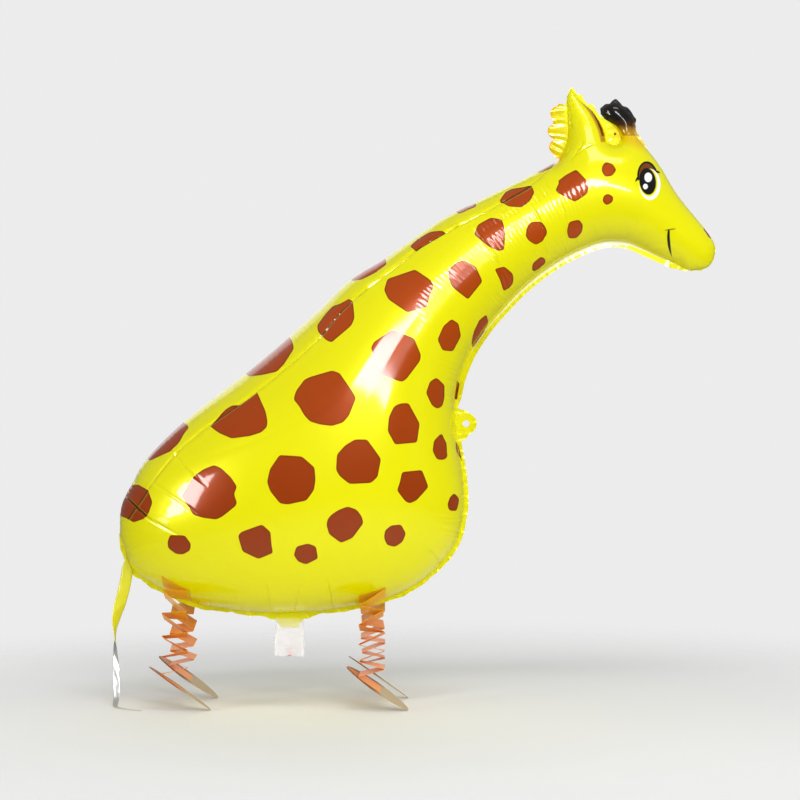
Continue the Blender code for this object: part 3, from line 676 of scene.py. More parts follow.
def signed_distance(lines, reach):
    """Distance of each flat point to the nearest of some closed lines, below zero inside them."""
    best = np.full(len(flat), reach)
    for line in lines:
        low, high = line.min(axis=0) - reach, line.max(axis=0) + reach
        close = np.flatnonzero(((flat > low) & (flat < high)).all(axis=1))
        points = flat[close]
        distance = np.full(len(close), reach)
        for a, b in zip(line, np.roll(line, -1, axis=0)):
            span = b - a
            share = np.clip((points - a) @ span / (span @ span), 0.0, 1.0)
            distance = np.minimum(distance, np.linalg.norm(points - a - share[:, None] * span, axis=1))
        distance[inside(line, points)] *= -1.0
        best[close] = np.minimum(best[close], distance)
    return best


def keep(name, values, second=None):
    """Keep a number, or a pair of them, at each point of both sheets."""
    kind, field = "FLOAT", "value"
    if second is not None:
        kind, field = "FLOAT_VECTOR", "vector"
        values = np.stack([values, second, np.zeros(count)], axis=1)
    layer = mesh.attributes.new(name, kind, "POINT")
    layer.data.foreach_set(field, np.concatenate([values, values]).astype(np.float32).ravel())


def from_stretch(first, last):
    """Each flat point's place along a stretch of the weld, and its distance from that stretch."""
    start = seam_place(first)
    stretch = seam[(start + np.arange((seam_place(last) - start) % len(seam))) % len(seam)]
    number, distance = nearest(tree_of(stretch), flat)
    return number * SEAM_STEP, distance


PRINT_REACH = 0.012             # how far from the spots' edges their distance is worked out
keep("spot", signed_distance(spots, PRINT_REACH))
keep("horn", signed_distance([horn], PRINT_REACH))
keep("from_cut", nearest(cut_tree, flat)[1])
for name, (line, _, _) in zip(("tuck", "rump_tuck"), creases):
    _, distance, left = beside(line)
    keep(name, np.where(left, distance, -distance))
nearer = -CAMERA.y / (-CAMERA.y - depth)
keep("print", CAMERA.x + (flat[:, 0] - CAMERA.x) * nearer, CAMERA.z + (flat[:, 1] - CAMERA.z) * nearer)

# Stretches of the weld that fine pleats run from: name, two ends in the picture, spacing of the pleats, how
# far they reach, how deep they are, and how far along the stretch they are fully grown.
PLEATS = [
    ("throat_pleats", (455, 411), (610, 249), 0.0044, 0.118, 0.90, 0.105),
    ("rump_pleats", (140, 470), (150, 590), 0.0056, 0.085, 0.45, 0.001),
    ("belly_pleats", (150, 590), (465, 500), 0.0060, 0.040, 0.40, 0.001),
    ("back_pleats", (560, 160), (140, 470), 0.0060, 0.024, 0.35, 0.001),
]
for name, first, last, *_ in PLEATS:
    along, away = from_stretch(first, last)
    keep(name, along, np.where(blown_point, away, 0.0))

# The painted highlight along the weld of the throat, a pale band where the weld's fold catches the light:
# places in the picture, with the distance of its middle from the blown-up foil's edge and its half-width, in
# metres.
WELD_HIGHLIGHT_MARKS = [((462, 385), 0.0008, 0.0002), ((475, 355), 0.0008, 0.0004), ((500, 322), 0.0022, 0.0008),
             ((540, 284), 0.0024, 0.0015), ((580, 255), 0.0026, 0.0023), ((622, 245), 0.0024, 0.0022),
             ((642, 250), 0.0010, 0.0010), ((660, 259), 0.0008, 0.0007), ((684, 268), 0.0006, 0.0002)]
along, away = from_stretch(*THROAT)
marks = np.array([weld_length(THROAT[0], pixel) for pixel, _, _ in WELD_HIGHLIGHT_MARKS])
middle = np.interp(along, marks, [m for _, m, _ in WELD_HIGHLIGHT_MARKS])
half_width = np.interp(along, marks, [h for _, _, h in WELD_HIGHLIGHT_MARKS])
keep("weld_highlight_distance", np.abs(np.where(blown_point, -away, away) - middle) - half_width)


class Value:
    """What a material's nodes work out at each point, for sums with other values and numbers."""

    def __init__(self, socket):
        self.socket = socket

    def sum(self, operation, *others, clamp=False):
        """The result of a sum on this value and others."""
        terms = dict(enumerate((self, *others)))
        return node(self.socket.id_data, "Math", terms, operation=operation, use_clamp=clamp)

    def __add__(self, other):
        return self.sum("ADD", other)

    def __sub__(self, other):
        return self.sum("SUBTRACT", other)

    def __mul__(self, other):
        return self.sum("MULTIPLY", other)

    def __abs__(self):
        return self.sum("ABSOLUTE")

    def below(self, edge=0.0, soft=0.0003, low=1.0):
        """One where the value is below an edge and zero above it, or the other way with low at zero."""
        inputs = {"Value": self, "From Min": edge - soft, "From Max": edge + soft, "To Min": low,
                  "To Max": 1.0 - low}
        return node(self.socket.id_data, "MapRange", inputs, interpolation_type="SMOOTHSTEP")

    def without(self, other):
        """The distance to what another shape leaves of this one."""
        return self.sum("MAXIMUM", other * -1.0)

    def part(self, axis):
        """One of a place's three numbers."""
        return node(self.socket.id_data, "SeparateXYZ", {"Vector": self}, axis)


def fill(made, inputs):
    """Set a node's inputs, or link them where they are values."""
    for name, value in inputs.items():
        socket = made.inputs[name]
        if isinstance(value, Value):
            made.id_data.links.new(value.socket, socket)
        else:
            socket.default_value = (*value, 1.0) if socket.type == "RGBA" else value


def node(tree, kind, inputs, output=0, **settings):
    """The result of a new node."""
    made = tree.nodes.new("ShaderNode" + kind)
    for name, setting in settings.items():
        setattr(made, name, setting)
    fill(made, inputs)
    return Value(made.outputs[output])


def streaks(across, along, seed):
    """Random values that change quickly across and slowly along."""
    tree = across.socket.id_data
    place = node(tree, "CombineXYZ", {"X": across, "Y": along, "Z": seed})
    return node(tree, "TexNoise", {"Vector": place, "Scale": 1.0, "Detail": 1.0}, "Fac")


class Look:
    """A material, with a colour that is painted on it in layers."""

    def __init__(self, name, colour):
        self.material = bpy.data.materials.new(name)
        self.material.use_nodes = True
        self.tree = self.material.node_tree
        self.shader = self.tree.nodes["Principled BSDF"]
        self.colour = colour

    def attribute(self, name, output="Fac"):
        """A value kept at the mesh's points."""
        return node(self.tree, "Attribute", {}, output, attribute_name=name)

    def place(self):
        """Where a point of the object is."""
        return node(self.tree, "TexCoord", {}, "Object")

    def noise(self, scale, detail=2.0, stretch=(1.0, 1.0, 1.0)):
        """Cloudy values between zero and one, fixed to the object."""
        placed = node(self.tree, "Mapping", {"Vector": self.place(), "Scale": stretch})
        return node(self.tree, "TexNoise", {"Vector": placed, "Scale": scale, "Detail": detail}, "Fac")

    def ellipse(self, centre, halves, lean=0.0):
        """Distance in the print to an ellipse given in picture pixels, below zero inside it."""
        placed = node(self.tree, "Mapping", {
            "Vector": self.attribute("print", "Vector"),
            "Location": (*at_pixel(centre), 0.0),
            "Rotation": (0.0, 0.0, math.radians(lean)),
            "Scale": (METRES_PER_PIXEL * halves[0], METRES_PER_PIXEL * halves[1], 1.0),
        }, vector_type="TEXTURE")
        narrow = METRES_PER_PIXEL * min(halves)
        return node(self.tree, "VectorMath", {0: placed}, "Value", operation="LENGTH") * narrow - narrow

    def above_line(self, first, last):
        """Distance in the print above a straight line that runs from left to right."""
        start = at_pixel(first)
        along = (at_pixel(last) - start).normalized()
        up = Vector((-along.y, along.x, 0.0))
        both = {0: self.attribute("print", "Vector"), 1: up}
        return node(self.tree, "VectorMath", both, "Value", operation="DOT_PRODUCT") - up.xy.dot(start)

    def ramp(self, value, stops):
        """Colours between named places of a value."""
        made = node(self.tree, "ValToRGB", {"Fac": value})
        points = made.socket.node.color_ramp.elements
        while len(points) < len(stops):
            points.new(0.5)
        for point, (place, colour) in zip(points, stops):
            point.position = place
            point.color = (*colour, 1.0)
        return made

    def mix(self, lower, upper, mask):
        """A colour laid over another where a mask is one."""
        inputs = {"Factor": mask, 6: lower, 7: upper}
        return node(self.tree, "Mix", inputs, 2, data_type="RGBA", clamp_factor=True)

    def paint(self, colour, mask):
        """Lay a colour over what is painted already."""
        self.colour = self.mix(self.colour, colour, mask)

    def bump(self, height, distance, to="Normal"):
        """Fine relief from a height between zero and one."""
        relief = {"Height": height, "Distance": distance, "Strength": 1.0}
        fill(self.shader, {to: node(self.tree, "Bump", relief)})

    def finish(self, roughness, **more):
        """Give the shader its colour and the rest of its finish."""
        names = {"specular": "Specular IOR Level", "coat": "Coat Weight", "coat_roughness": "Coat Roughness"}
        others = {names.get(name, name.capitalize()): value for name, value in more.items()}
        fill(self.shader, {"Base Color": self.colour, "Roughness": roughness, **others})


YELLOW = (0.76, 0.735, 0.0)
WARM_YELLOW = (0.74, 0.65, 0.0)
MANE_YELLOW = (0.66, 0.53, 0.0)
EDGE_AND_REFLECTED_ORANGE = (0.78, 0.36, 0.0)
HIGHLIGHT_YELLOW = (0.93, 0.92, 0.62)
TUCK_SHADE = (0.42, 0.34, 0.0)
TUCK_SHADE_BROWN = (0.035, 0.006, 0.0)
TUCK_HIGHLIGHT_GOLD = (0.36, 0.17, 0.002)
SPOT_BROWN = (0.35, 0.045, 0.0)
SPOT_LIGHT = (0.42, 0.064, 0.0)
SPOT_LOW_SHADE = (0.24, 0.028, 0.0)
SPOT_RIM = (0.17, 0.012, 0.0)
INK_BLACK = (0.006, 0.005, 0.004)
LID_BROWN = (0.17, 0.045, 0.002)
EYE_WHITE = (0.90, 0.88, 0.92)
EAR_GOLD = (0.50, 0.26, 0.004)
EAR_BROWN = (0.13, 0.028, 0.001)
HORN_GOLD = (0.42, 0.23, 0.006)
HORN_BROWN = (0.055, 0.018, 0.002)
MOUTH_OLIVE = (0.30, 0.25, 0.004)

foil = Look("printed_foil", YELLOW)
foil.paint(WARM_YELLOW, foil.noise(5.0) * 0.30)
foil.paint(MANE_YELLOW, foil.ellipse((555, 134), (12, 34)).below(soft=0.0030) * 0.8)
mane_edge = foil.attribute("from_cut").below(0.0016, 0.0016) * foil.ellipse((556, 134), (14, 34)).below()
foil.paint(EDGE_AND_REFLECTED_ORANGE, mane_edge * 0.85)
# Below the horn a soft orange patch is painted on: a painted reflection of the horn.
foil.paint(EDGE_AND_REFLECTED_ORANGE, foil.ellipse((632, 139), (17, 6), -28).below(soft=0.0060) * 0.55)
# A painted highlight: the pale band along the weld of the throat.
foil.paint(HIGHLIGHT_YELLOW, foil.attribute("weld_highlight_distance").below(soft=0.0005) * 0.9)

# The spots have a darker rim and a cloudy middle, and lower down they are painted darker: painted shade on
# the lower body.
spot = foil.attribute("spot")
middle = foil.mix(SPOT_BROWN, SPOT_LIGHT, foil.noise(38.0, 4.0) * 0.6)
middle = foil.mix(middle, SPOT_LOW_SHADE, foil.above_line((100, 430), (700, 430)).below(soft=0.16) * 0.8)
foil.paint(SPOT_RIM, spot.below())
foil.paint(middle, spot.below(-0.0011, 0.0007))

# Where the tucks cross the print they hide a strip of it. The fold is painted with painted shade, darkest on
# the spots, and on the spots a golden line below it is a painted highlight on the fold's lip.
for name, way in (("tuck", -1.0), ("rump_tuck", 1.0)):
    tuck = foil.attribute(name) + (foil.noise(90.0) * 0.0022 - 0.0011)
    fold = abs(tuck).below(0.0010, 0.0007)
    foil.paint(TUCK_SHADE, fold * 0.30)
    foil.paint(TUCK_HIGHLIGHT_GOLD, abs(tuck - way * 0.0024).below(0.0007, 0.0005) * spot.below() * 0.85)
    foil.paint(TUCK_SHADE_BROWN, fold * spot.below() * 0.9)

# The ear's shaded hollow is a crescent between two circles.
ear_outer = foil.ellipse((549.0, 149.2), (57.2, 57.2))
ear_inner = foil.ellipse((524.5, 155.2), (78.4, 78.4))
for shrink, soft, foot, ink in ((-0.9, 0.9, 142, EAR_GOLD), (1.3, 0.7, 136, EAR_BROWN)):
    hollow = ear_outer.without(ear_inner - shrink * METRES_PER_PIXEL)
    hollow = hollow.without(foil.above_line((590, foot), (610, foot)))
    foil.paint(ink, hollow.below(soft=soft * METRES_PER_PIXEL))

# The horn runs from black at its tip to gold at its foot.
horn_height = foil.above_line((600, 137), (640, 137)).sum("DIVIDE", 24 * METRES_PER_PIXEL, clamp=True)
horn_height = horn_height.sum("ADD", foil.noise(160.0, 3.0) * 0.24 - 0.12, clamp=True)
horn_colour = foil.ramp(horn_height, ((0.0, WARM_YELLOW), (0.08, HORN_GOLD), (0.20, HORN_GOLD),
                                      (0.50, HORN_BROWN), (0.74, INK_BLACK)))
foil.paint(horn_colour, foil.attribute("horn").below())
foil.paint(HORN_BROWN, foil.ellipse((615, 134), (1.3, 1.3)).below())

# The eye is a lid with two lashes, a white crescent, a black iris and two glints. The mouth is a thin
# crescent that tapers downwards, with a short tick across its top.
lid_foot = foil.above_line((636.5, 181), (660, 172.5))
eyeball = foil.ellipse((649.8, 184.3), (10.6, 15.6), 2)
smile = foil.ellipse((710.3, 237.6), (43.2, 43.2)).without(foil.ellipse((874.65, 226.7), (205.0, 205.0)))
for shape, ink in (
    (foil.ellipse((647.8, 177.5), (10.5, 16.3), 7).without(lid_foot), INK_BLACK),
    (foil.ellipse((647.5, 177.5), (8.5, 14.2), 7).without(lid_foot), LID_BROWN),
    (foil.ellipse((636.9, 179.0), (0.9, 3.0), -26), INK_BLACK),
    (foil.ellipse((658.0, 171.9), (2.2, 1.0), -30), INK_BLACK),
    (eyeball, YELLOW),
    (eyeball.without(foil.ellipse((648.2, 182.2), (9.3, 14.4), 5)), EYE_WHITE),
    (foil.ellipse((647.6, 181.4), (8.3, 13.4), 7), INK_BLACK),
    (foil.ellipse((648.2, 177.4), (3.8, 4.7)), EYE_WHITE),
    (foil.ellipse((645.4, 186.5), (2.4, 2.7)), EYE_WHITE),
    (foil.ellipse((670.3, 229.5), (5.6, 0.8), 9), MOUTH_OLIVE),
    (smile.sum("MAXIMUM", foil.above_line((660, 229.6), (680, 229.6))), INK_BLACK),
):
    foil.paint(ink, shape.below())

# Fine pleats run into the foil from the weld: a wandering comb and finer streaks between, over a faint grain.
COMB, FINE, GRAIN = 0.20, 0.56, 0.02    # their shares of the height
PLEAT_START = 0.00625           # distance from the weld over which they begin
STRETCH_FADE = 1.0 / 30.0       # length over which they fade at the ends of a stretch
height = foil.noise(260.0, 3.0) * GRAIN
for name, first, last, spacing, reach, deep_by, full_from in PLEATS:
    along, away = (foil.attribute(name, "Vector").part(axis) for axis in "XY")
    short = along.below(0.75 * full_from, 0.25 * full_from)
    ends = away - streaks(along * (0.6 / spacing), away * 8.0, 3.0) * (0.2 * reach) + short * (0.36 * reach)
    grown = away.below(0.36 * reach, 0.20 * reach) * -0.65 + 1.0
    begun = away.sum("DIVIDE", PLEAT_START, clamp=True) * grown
    from_ends = along.sum("MINIMUM", along * -1.0 + weld_length(first, last))
    fade = ends.below(0.64 * reach, 0.12 * reach) * begun * from_ends.sum("DIVIDE", STRETCH_FADE, clamp=True)
    wander = streaks(along * 45.0, away * 9.0, 11.0) * 7.0
    comb = (along * (2 * math.pi / spacing) + wander).sum("SINE")
    fine = streaks(along * (1.0 / spacing), away * 18.0, 7.0)
    height = height + (comb * COMB + fine * FINE) * fade * deep_by
foil.bump(height, 0.0002)
foil.bump(height, 0.0004, to="Coat Normal")
foil.finish(0.30, metallic=0.07, specular=0.05, coat=0.6, coat_roughness=0.08)
mesh.materials.append(foil.material)
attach(balloon, "root")
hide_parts("balloon", "string_tab")

# Filling neck
# A flat sleeve of thin clear film that the balloon is filled through, and that closes by itself. Its two
# layers are welded along both sides and slipped over the foil tongue below the belly.
FILM_THICKNESS = 0.00012
SIDE_SEAL = 0.84                # share of the half-width where the side seals start
SLEEVE_FULL = 0.0010            # half the sleeve's depth in its middle
SLEEVE_TOP = 0.92               # width of its top as a share of the foot's
LAYER_GAP = 0.00008             # half the space between the layers where they are sealed
FOOT_RISE = 0.0006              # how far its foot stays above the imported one, because it droops


def sheet_of_rows(name, rows, **marks):
    """A sheet that is added as a grid and put on rows of points, with numbers kept at its points."""
    bpy.ops.object.select_all(action="DESELECT")
    bpy.ops.mesh.primitive_grid_add(x_subdivisions=len(rows[0]) - 1, y_subdivisions=len(rows) - 1, size=2.0)
    made = bpy.context.object
    made.name = name
    places = []
    for vertex in made.data.vertices:
        column = round(0.5 * (vertex.co.x + 1.0) * (len(rows[0]) - 1))
        row = round(0.5 * (1.0 - vertex.co.y) * (len(rows) - 1))
        vertex.co = rows[row][column]
        places.append((row, column))
    for mark, values in marks.items():
        layer = made.data.attributes.new(mark, "FLOAT", "POINT")
        layer.data.foreach_set("value", [values[row][column] for row, column in places])
    made.data.update()
    return made


def thicken(sheet, thickness, second_face=0):
    """Give a sheet its thickness, with its material on one face and another on the other if asked."""
    wall = sheet.modifiers.new("thickness", "SOLIDIFY")
    wall.thickness = thickness
    wall.offset = 0.0
    wall.material_offset = second_face
    bpy.context.view_layer.objects.active = sheet
    bpy.ops.object.modifier_apply(modifier=wall.name)
    sheet.data.shade_smooth()


def shares(count):
    """Evenly spaced values from zero to one."""
    return [k / count for k in range(count + 1)]


def sleeve_point(across, down, side):
    """A point of one layer, by how far across and how far down the sleeve it is."""
    half = 0.5 * (neck_high.x - neck_low.x) * (SLEEVE_TOP + (1.0 - SLEEVE_TOP) * down)
    open_by = max(1.0 - (abs(across) / SIDE_SEAL) ** 2, 0.0) ** 0.7
    crinkle = 0.12 * math.sin(9.0 * across + 5.0 * down) + 0.08 * math.sin(23.0 * down - 4.0 * across)
    depth = LAYER_GAP + SLEEVE_FULL * open_by * (1.0 + crinkle * side)
    bend = 0.0007 * down * math.sin(3.1 * down + 1.7 * across)
    droop = 0.0006 * math.sin(5.0 * across + 0.6) * down
    return Vector((neck_middle + across * half, side * depth + bend,
                   neck_high.z - (neck_high.z - neck_low.z - FOOT_RISE) * down + droop))


neck_middle = 0.5 * (neck_low.x + neck_high.x)
layers = []
for side in (-1, 1):
    rows = [[sleeve_point(2.0 * a - 1.0, down, side) for a in shares(36)] for down in shares(40)]
    layers.append(sheet_of_rows("neck_layer", rows))
    thicken(layers[-1], FILM_THICKNESS)
bpy.ops.object.select_all(action="DESELECT")
for layer in layers:
    layer.select_set(True)
sleeve = bpy.context.view_layer.objects.active = layers[0]
bpy.ops.object.join()
sleeve.name = "neck_film"
sleeve.data.name = "neck_film"
print_layer = sleeve.data.attributes.new("print", "FLOAT_VECTOR", "POINT")
for vertex, value in zip(sleeve.data.vertices, print_layer.data):
    value.vector = (vertex.co.x, vertex.co.z, 0.0)

CLEAR = (0.93, 0.92, 0.95)
MARK_PINK = (0.80, 0.20, 0.26)
MARK_PALE = (0.84, 0.66, 0.70)
SEAL_START = 0.0150             # from the sleeve's middle, where its film looks denser
clear_film = Look("clear_film", CLEAR)
from_middle = abs(clear_film.attribute("print", "Vector").part("X") - neck_middle)
seal = from_middle.below(SEAL_START, 0.0008, low=0.0)
oval = clear_film.ellipse((290.5, 652.5), (5.0, 3.6)).below(soft=0.0008) * 0.6
mark = clear_film.ellipse((289.5, 647.0), (4.6, 1.2)).below(soft=0.0006).sum("MAXIMUM", oval)
dot = clear_film.ellipse((289.8, 655.8), (2.2, 1.3)).below()
clear_film.paint(MARK_PALE, mark * 0.7)
clear_film.paint(MARK_PINK, dot)
above_foot = clear_film.above_line((270, 634), (310, 634)).sum("MULTIPLY", 60.0, clamp=True)
alpha = seal * 0.36 + 0.32 - above_foot * 0.30 + mark.sum("MAXIMUM", dot) * 0.4
alpha = alpha.sum("ADD", clear_film.noise(120.0) * 0.18, clamp=True)
clear_film.bump(clear_film.noise(140.0), 0.0003)
clear_film.finish(0.12, coat=0.5, alpha=alpha)
sleeve.data.materials.append(clear_film.material)
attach(sleeve, "root")
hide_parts("filling_neck")

# Tail
# A narrow ribbon of foil, yellow on one face and silver on the other, glued to the weld at the rump. It turns
# over once as it hangs, and what is too long of it lies on the floor.
TAIL_ROOT = (-0.35638, 0.17837)     # forward and up
TAIL_SEAM = Vector((0.3963, 0.0, -0.9181))      # the way the weld runs there
# Its middle line: shares of the drop to the floor with how far forward and sideways it is there, then steps
# forward and sideways along the floor.
TAIL_SWAY = [(0.0, 0.0, 0.0), (0.18, -0.0050, -0.0010), (0.32, -0.0115, 0.0), (0.42, -0.0155, 0.001),
             (0.55, -0.0165, 0.001), (0.73, -0.0150, 0.0), (0.87, -0.0143, -0.003), (0.955, -0.0138, -0.011),
             (1.0, -0.0125, -0.026)]
FLOOR_RUN = [(0.0093, -0.0135), (0.0123, -0.0109), (0.0145, -0.0076)]
ROUTE_STEP = 0.0016
RIBBON_WIDTH = 0.0145
RIBBON_END_WIDTH = 0.004
RIBBON_TURN = (0.12, 0.67)      # shares of its length between which it turns over
RIBBON_TAPER = 0.25             # share from which it narrows
RIBBON_GLUED = 0.06             # share over which it leaves the weld
RIBBON_THICKNESS = 0.0002
RIBBON_REST = 0.0006            # height of its middle where it lies on the floor
RIBBON_OUT = 0.0006             # its middle from the weld's middle plane
RIBBON_COLUMNS = 8

route = [(TAIL_ROOT[0] + forward, sideways, TAIL_ROOT[1] + (RIBBON_REST - TAIL_ROOT[1]) * drop)
         for drop, forward, sideways in TAIL_SWAY]
for forward, sideways in FLOOR_RUN:
    route.append((route[-1][0] + forward, route[-1][1] + sideways, RIBBON_REST))
middles = smooth_run(np.array(route), ROUTE_STEP)
alongs = np.gradient(middles, axis=0)
rows = []
for k, (middle, along) in enumerate(zip(middles, alongs)):
    middle, along = Vector(middle), Vector(along).normalized()
    part_down = k / (len(middles) - 1)
    ease = min(max((part_down - RIBBON_TURN[0]) / (RIBBON_TURN[1] - RIBBON_TURN[0]), 0.0), 1.0)
    turned = math.pi * ease * ease * (3.0 - 2.0 * ease)
    flat_way = Vector((math.cos(turned), math.sin(turned), 0.0))
    flat_way = (flat_way - flat_way.dot(along) * along).normalized()
    flat_way = flat_way.lerp(TAIL_SEAM, max(1.0 - part_down / RIBBON_GLUED, 0.0)).normalized()
    face_way = flat_way.cross(along)
    narrow = max(part_down - RIBBON_TAPER, 0.0) / (1.0 - RIBBON_TAPER)
    half = 0.5 * (RIBBON_WIDTH + (RIBBON_END_WIDTH - RIBBON_WIDTH) * narrow ** 0.7)
    hanging = min(part_down / 0.1, 1.0) * min(max(middle.z / 0.02, 0.0), 1.0)
    row = []
    for column in shares(RIBBON_COLUMNS):
        across = 2.0 * column - 1.0
        curl = 0.16 * half * (across * across - 0.4) + 0.00025 * math.sin(70.0 * part_down + 2.0 * across)
        point = middle - Vector((0.0, RIBBON_OUT, 0.0)) + across * half * flat_way + hanging * curl * face_way
        point.z = max(point.z, RIBBON_REST)
        row.append(point)
    rows.append(row)
ribbon = sheet_of_rows("tail_strip", rows)

RIBBON_YELLOW = (0.76, 0.72, 0.004)
RIBBON_SILVER = (0.62, 0.62, 0.63)
for name, colour, metallic in (("ribbon_yellow", RIBBON_YELLOW, 0.0), ("ribbon_silver", RIBBON_SILVER, 0.85)):
    face = Look(name, colour)
    darker = tuple(0.72 * c for c in colour)
    face.paint(darker, face.noise(60.0, 3.0, (1.0, 1.0, 0.3)) * 0.5)
    face.bump(face.noise(200.0, stretch=(1.0, 1.0, 0.4)), 0.0002)
    face.finish(0.36, metallic=metallic, coat=0.2)
    ribbon.data.materials.append(face.material)
thicken(ribbon, RIBBON_THICKNESS, second_face=1)
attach(ribbon, "root")
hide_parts("tail_ribbon")

# Feet
# Four thin cards cut to a pointed oval, coloured orange with a brown border at the heel and plain tan towards
# the toe. Each hangs toe down from the last fold of its leg and rests on its toe.
FOOT_SPREAD = 0.104             # between the middles of a pair
FOOT_LENGTH = 0.092
FOOT_WIDTH = 0.038
FOOT_THICKNESS = 0.0009
PACKED_HALF = 0.0005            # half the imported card's thickness
FOOT_CURL = 0.0004              # rise of its long edges
FOOT_POINT = 0.12               # how much more pointed than an ellipse it is
FOOT_TIP = math.radians(35.0)
FOOT_ROLL = {"front": 8.0, "rear": -5.0}    # degrees
TOE_CLEAR = 0.00005             # from the toe to the floor
TIP_CUT = 0.012                 # share of the half turn that each pointed end leaves out
FOOT_ORANGE = (0.66, 0.22, 0.0)
FOOT_BROWN = (0.17, 0.030, 0.001)
FOOT_TAN = (0.50, 0.40, 0.23)
FOOT_FLECK = (0.34, 0.19, 0.05)
SIDES = {"right": -1, "left": 1}


def foot_frame(foot_name, side, roll):
    """A foot's heel and its directions to the toe, across and up, from its packed card."""
    low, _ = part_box(foot_name)
    to_toe = Vector((math.cos(FOOT_TIP), 0.0, -math.sin(FOOT_TIP)))
    turn = Matrix.Rotation(-side * math.radians(roll), 3, to_toe)
    up = turn @ Vector((math.sin(FOOT_TIP), 0.0, math.cos(FOOT_TIP)))
    across = turn @ Vector((0.0, 1.0, 0.0))
    heel_z = FOOT_LENGTH * math.sin(FOOT_TIP) + PACKED_HALF * up.z + TOE_CLEAR
    return Vector((low.x + PACKED_HALF * up.x, 0.5 * side * FOOT_SPREAD, heel_z)), to_toe, across, up


card = Look("foot_card", FOOT_TAN)
heel_share = card.attribute("along")
card.colour = card.ramp(heel_share, ((0.34, FOOT_ORANGE), (0.50, FOOT_TAN)))
card.paint(FOOT_BROWN, card.attribute("across").below(0.56, 0.16, low=0.0) * heel_share.below(0.52, 0.12))
card.paint(FOOT_FLECK, card.noise(300.0, 4.0) * 0.35)
card.bump(card.noise(700.0), 0.00008)
card.finish(0.42, specular=0.15)

frames = {}
for pair, roll in FOOT_ROLL.items():
    for hand, side in SIDES.items():
        foot_name = f"{pair}_foot_{hand}"
        heel, to_toe, across_way, up = frames[pair, hand] = foot_frame(foot_name, side, roll)
        rows, reaches, spreads = [], [], []
        for turn in shares(46):
            angle = math.pi * min(max(turn, TIP_CUT), 1.0 - TIP_CUT)
            reach = 0.5 * FOOT_LENGTH * (1.0 - math.cos(angle))
            spread = 0.5 * FOOT_WIDTH * math.sin(angle) * (1.0 - FOOT_POINT * math.cos(2 * angle))
            acrosses = [2.0 * column - 1.0 for column in shares(10)]
            rows.append([heel + reach * to_toe + across * spread * across_way
                         + FOOT_CURL * across * across * math.sin(angle) * up for across in acrosses])
            reaches.append([reach / FOOT_LENGTH for _ in acrosses])
            spreads.append([abs(across) for across in acrosses])
        foot = sheet_of_rows(f"{foot_name}_card", rows, along=reaches, across=spreads)
        thicken(foot, FOOT_THICKNESS)
        foot.data.set_sharp_from_angle(angle=math.radians(40))
        foot.data.materials.append(card.material)
        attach(foot, "root")
        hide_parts(foot_name)

# Legs
# Four strips of thin orange film, folded like an accordion so that they bounce. The top fold is stuck flat on
# the belly and the last one on the foot's card, and the folds between hang open by their own weight.
LEG_SPREAD = 0.076              # between the middles of a pair, at the belly
FOLD_LENGTH = 0.032
STRIP_WIDTH = 0.027
FOLD_COUNT = 10
FOLD_NIP = 0.0013               # the film's rise round a crease
FOLD_STRETCH = 1.15             # how much further the upper folds hang open than the lower ones
FOLD_SHORT = 0.0022             # how much shorter a fold can be at one end
FOLD_DRIFT = 0.0012             # how far a crease can lie sideways
FOLD_TWIST = 0.05               # how far it can turn, as a slope
FOLD_BOW = (-0.0006, 0.0014)    # how far a fold can sag
LAST_BOW = 0.0006               # how far the last one does
LEG_FILM = 0.00025
GLUE = 0.0002
PAD_GAP = 0.0005                # from the foil to the middle of the film that is stuck to it
HEEL_REACH = 0.018              # from the heel to where the last fold is stuck on the card
COLUMNS = 8
FOLD_ROWS = 9
LEG_SEED = 40

foil_tree = BVHTree.FromObject(balloon, bpy.context.evaluated_depsgraph_get())


def pad_rows(leg_x, side):
    """Rows of points of the top fold, which lies against the belly's foil."""
    rows = []
    for share in shares(FOLD_ROWS):
        start = Vector((leg_x + (share - 0.5) * FOLD_LENGTH, 0.5 * side * LEG_SPREAD, 0.0))
        middle, normal, _, _ = foil_tree.ray_cast(start, Vector((0.0, 0.0, 1.0)))
        across = Vector((0.0, -normal.z, normal.y)).normalized()
        row = []
        for column in shares(COLUMNS):
            point, normal, _, _ = foil_tree.find_nearest(middle + (column - 0.5) * STRIP_WIDTH * across)
            row.append(point + PAD_GAP * normal)
        rows.append(row)
    return rows


def strip_row(middle, lie):
    """A straight row of points across the strip."""
    return [middle + (column - 0.5) * STRIP_WIDTH * lie for column in shares(COLUMNS)]


def fold_between(upper, lower, bow):
    """The rows of one fold between two creases' rows, bowed by its own weight."""
    rows = []
    for share in shares(FOLD_ROWS)[1:-1]:
        row = []
        for column, (a, b) in enumerate(zip(upper, lower)):
            across = 2.0 * column / COLUMNS - 1.0
            sag = bow * math.sin(math.pi * share) * (1.0 - 0.5 * across * across)
            row.append(a.lerp(b, share) - Vector((0.0, 0.0, sag)))
        rows.append(row)
    return rows


def crease_rows(middle, lie, way):
    """A rounded crease, from the fold above round to the fold below."""
    rows = []
    for turn in shares(6):
        angle = math.pi * (0.5 - turn)
        reach = Vector((way * (math.cos(angle) - 1.0), 0.0, math.sin(angle)))
        rows.append(strip_row(middle + 0.5 * FOLD_NIP * reach, lie))
    return rows


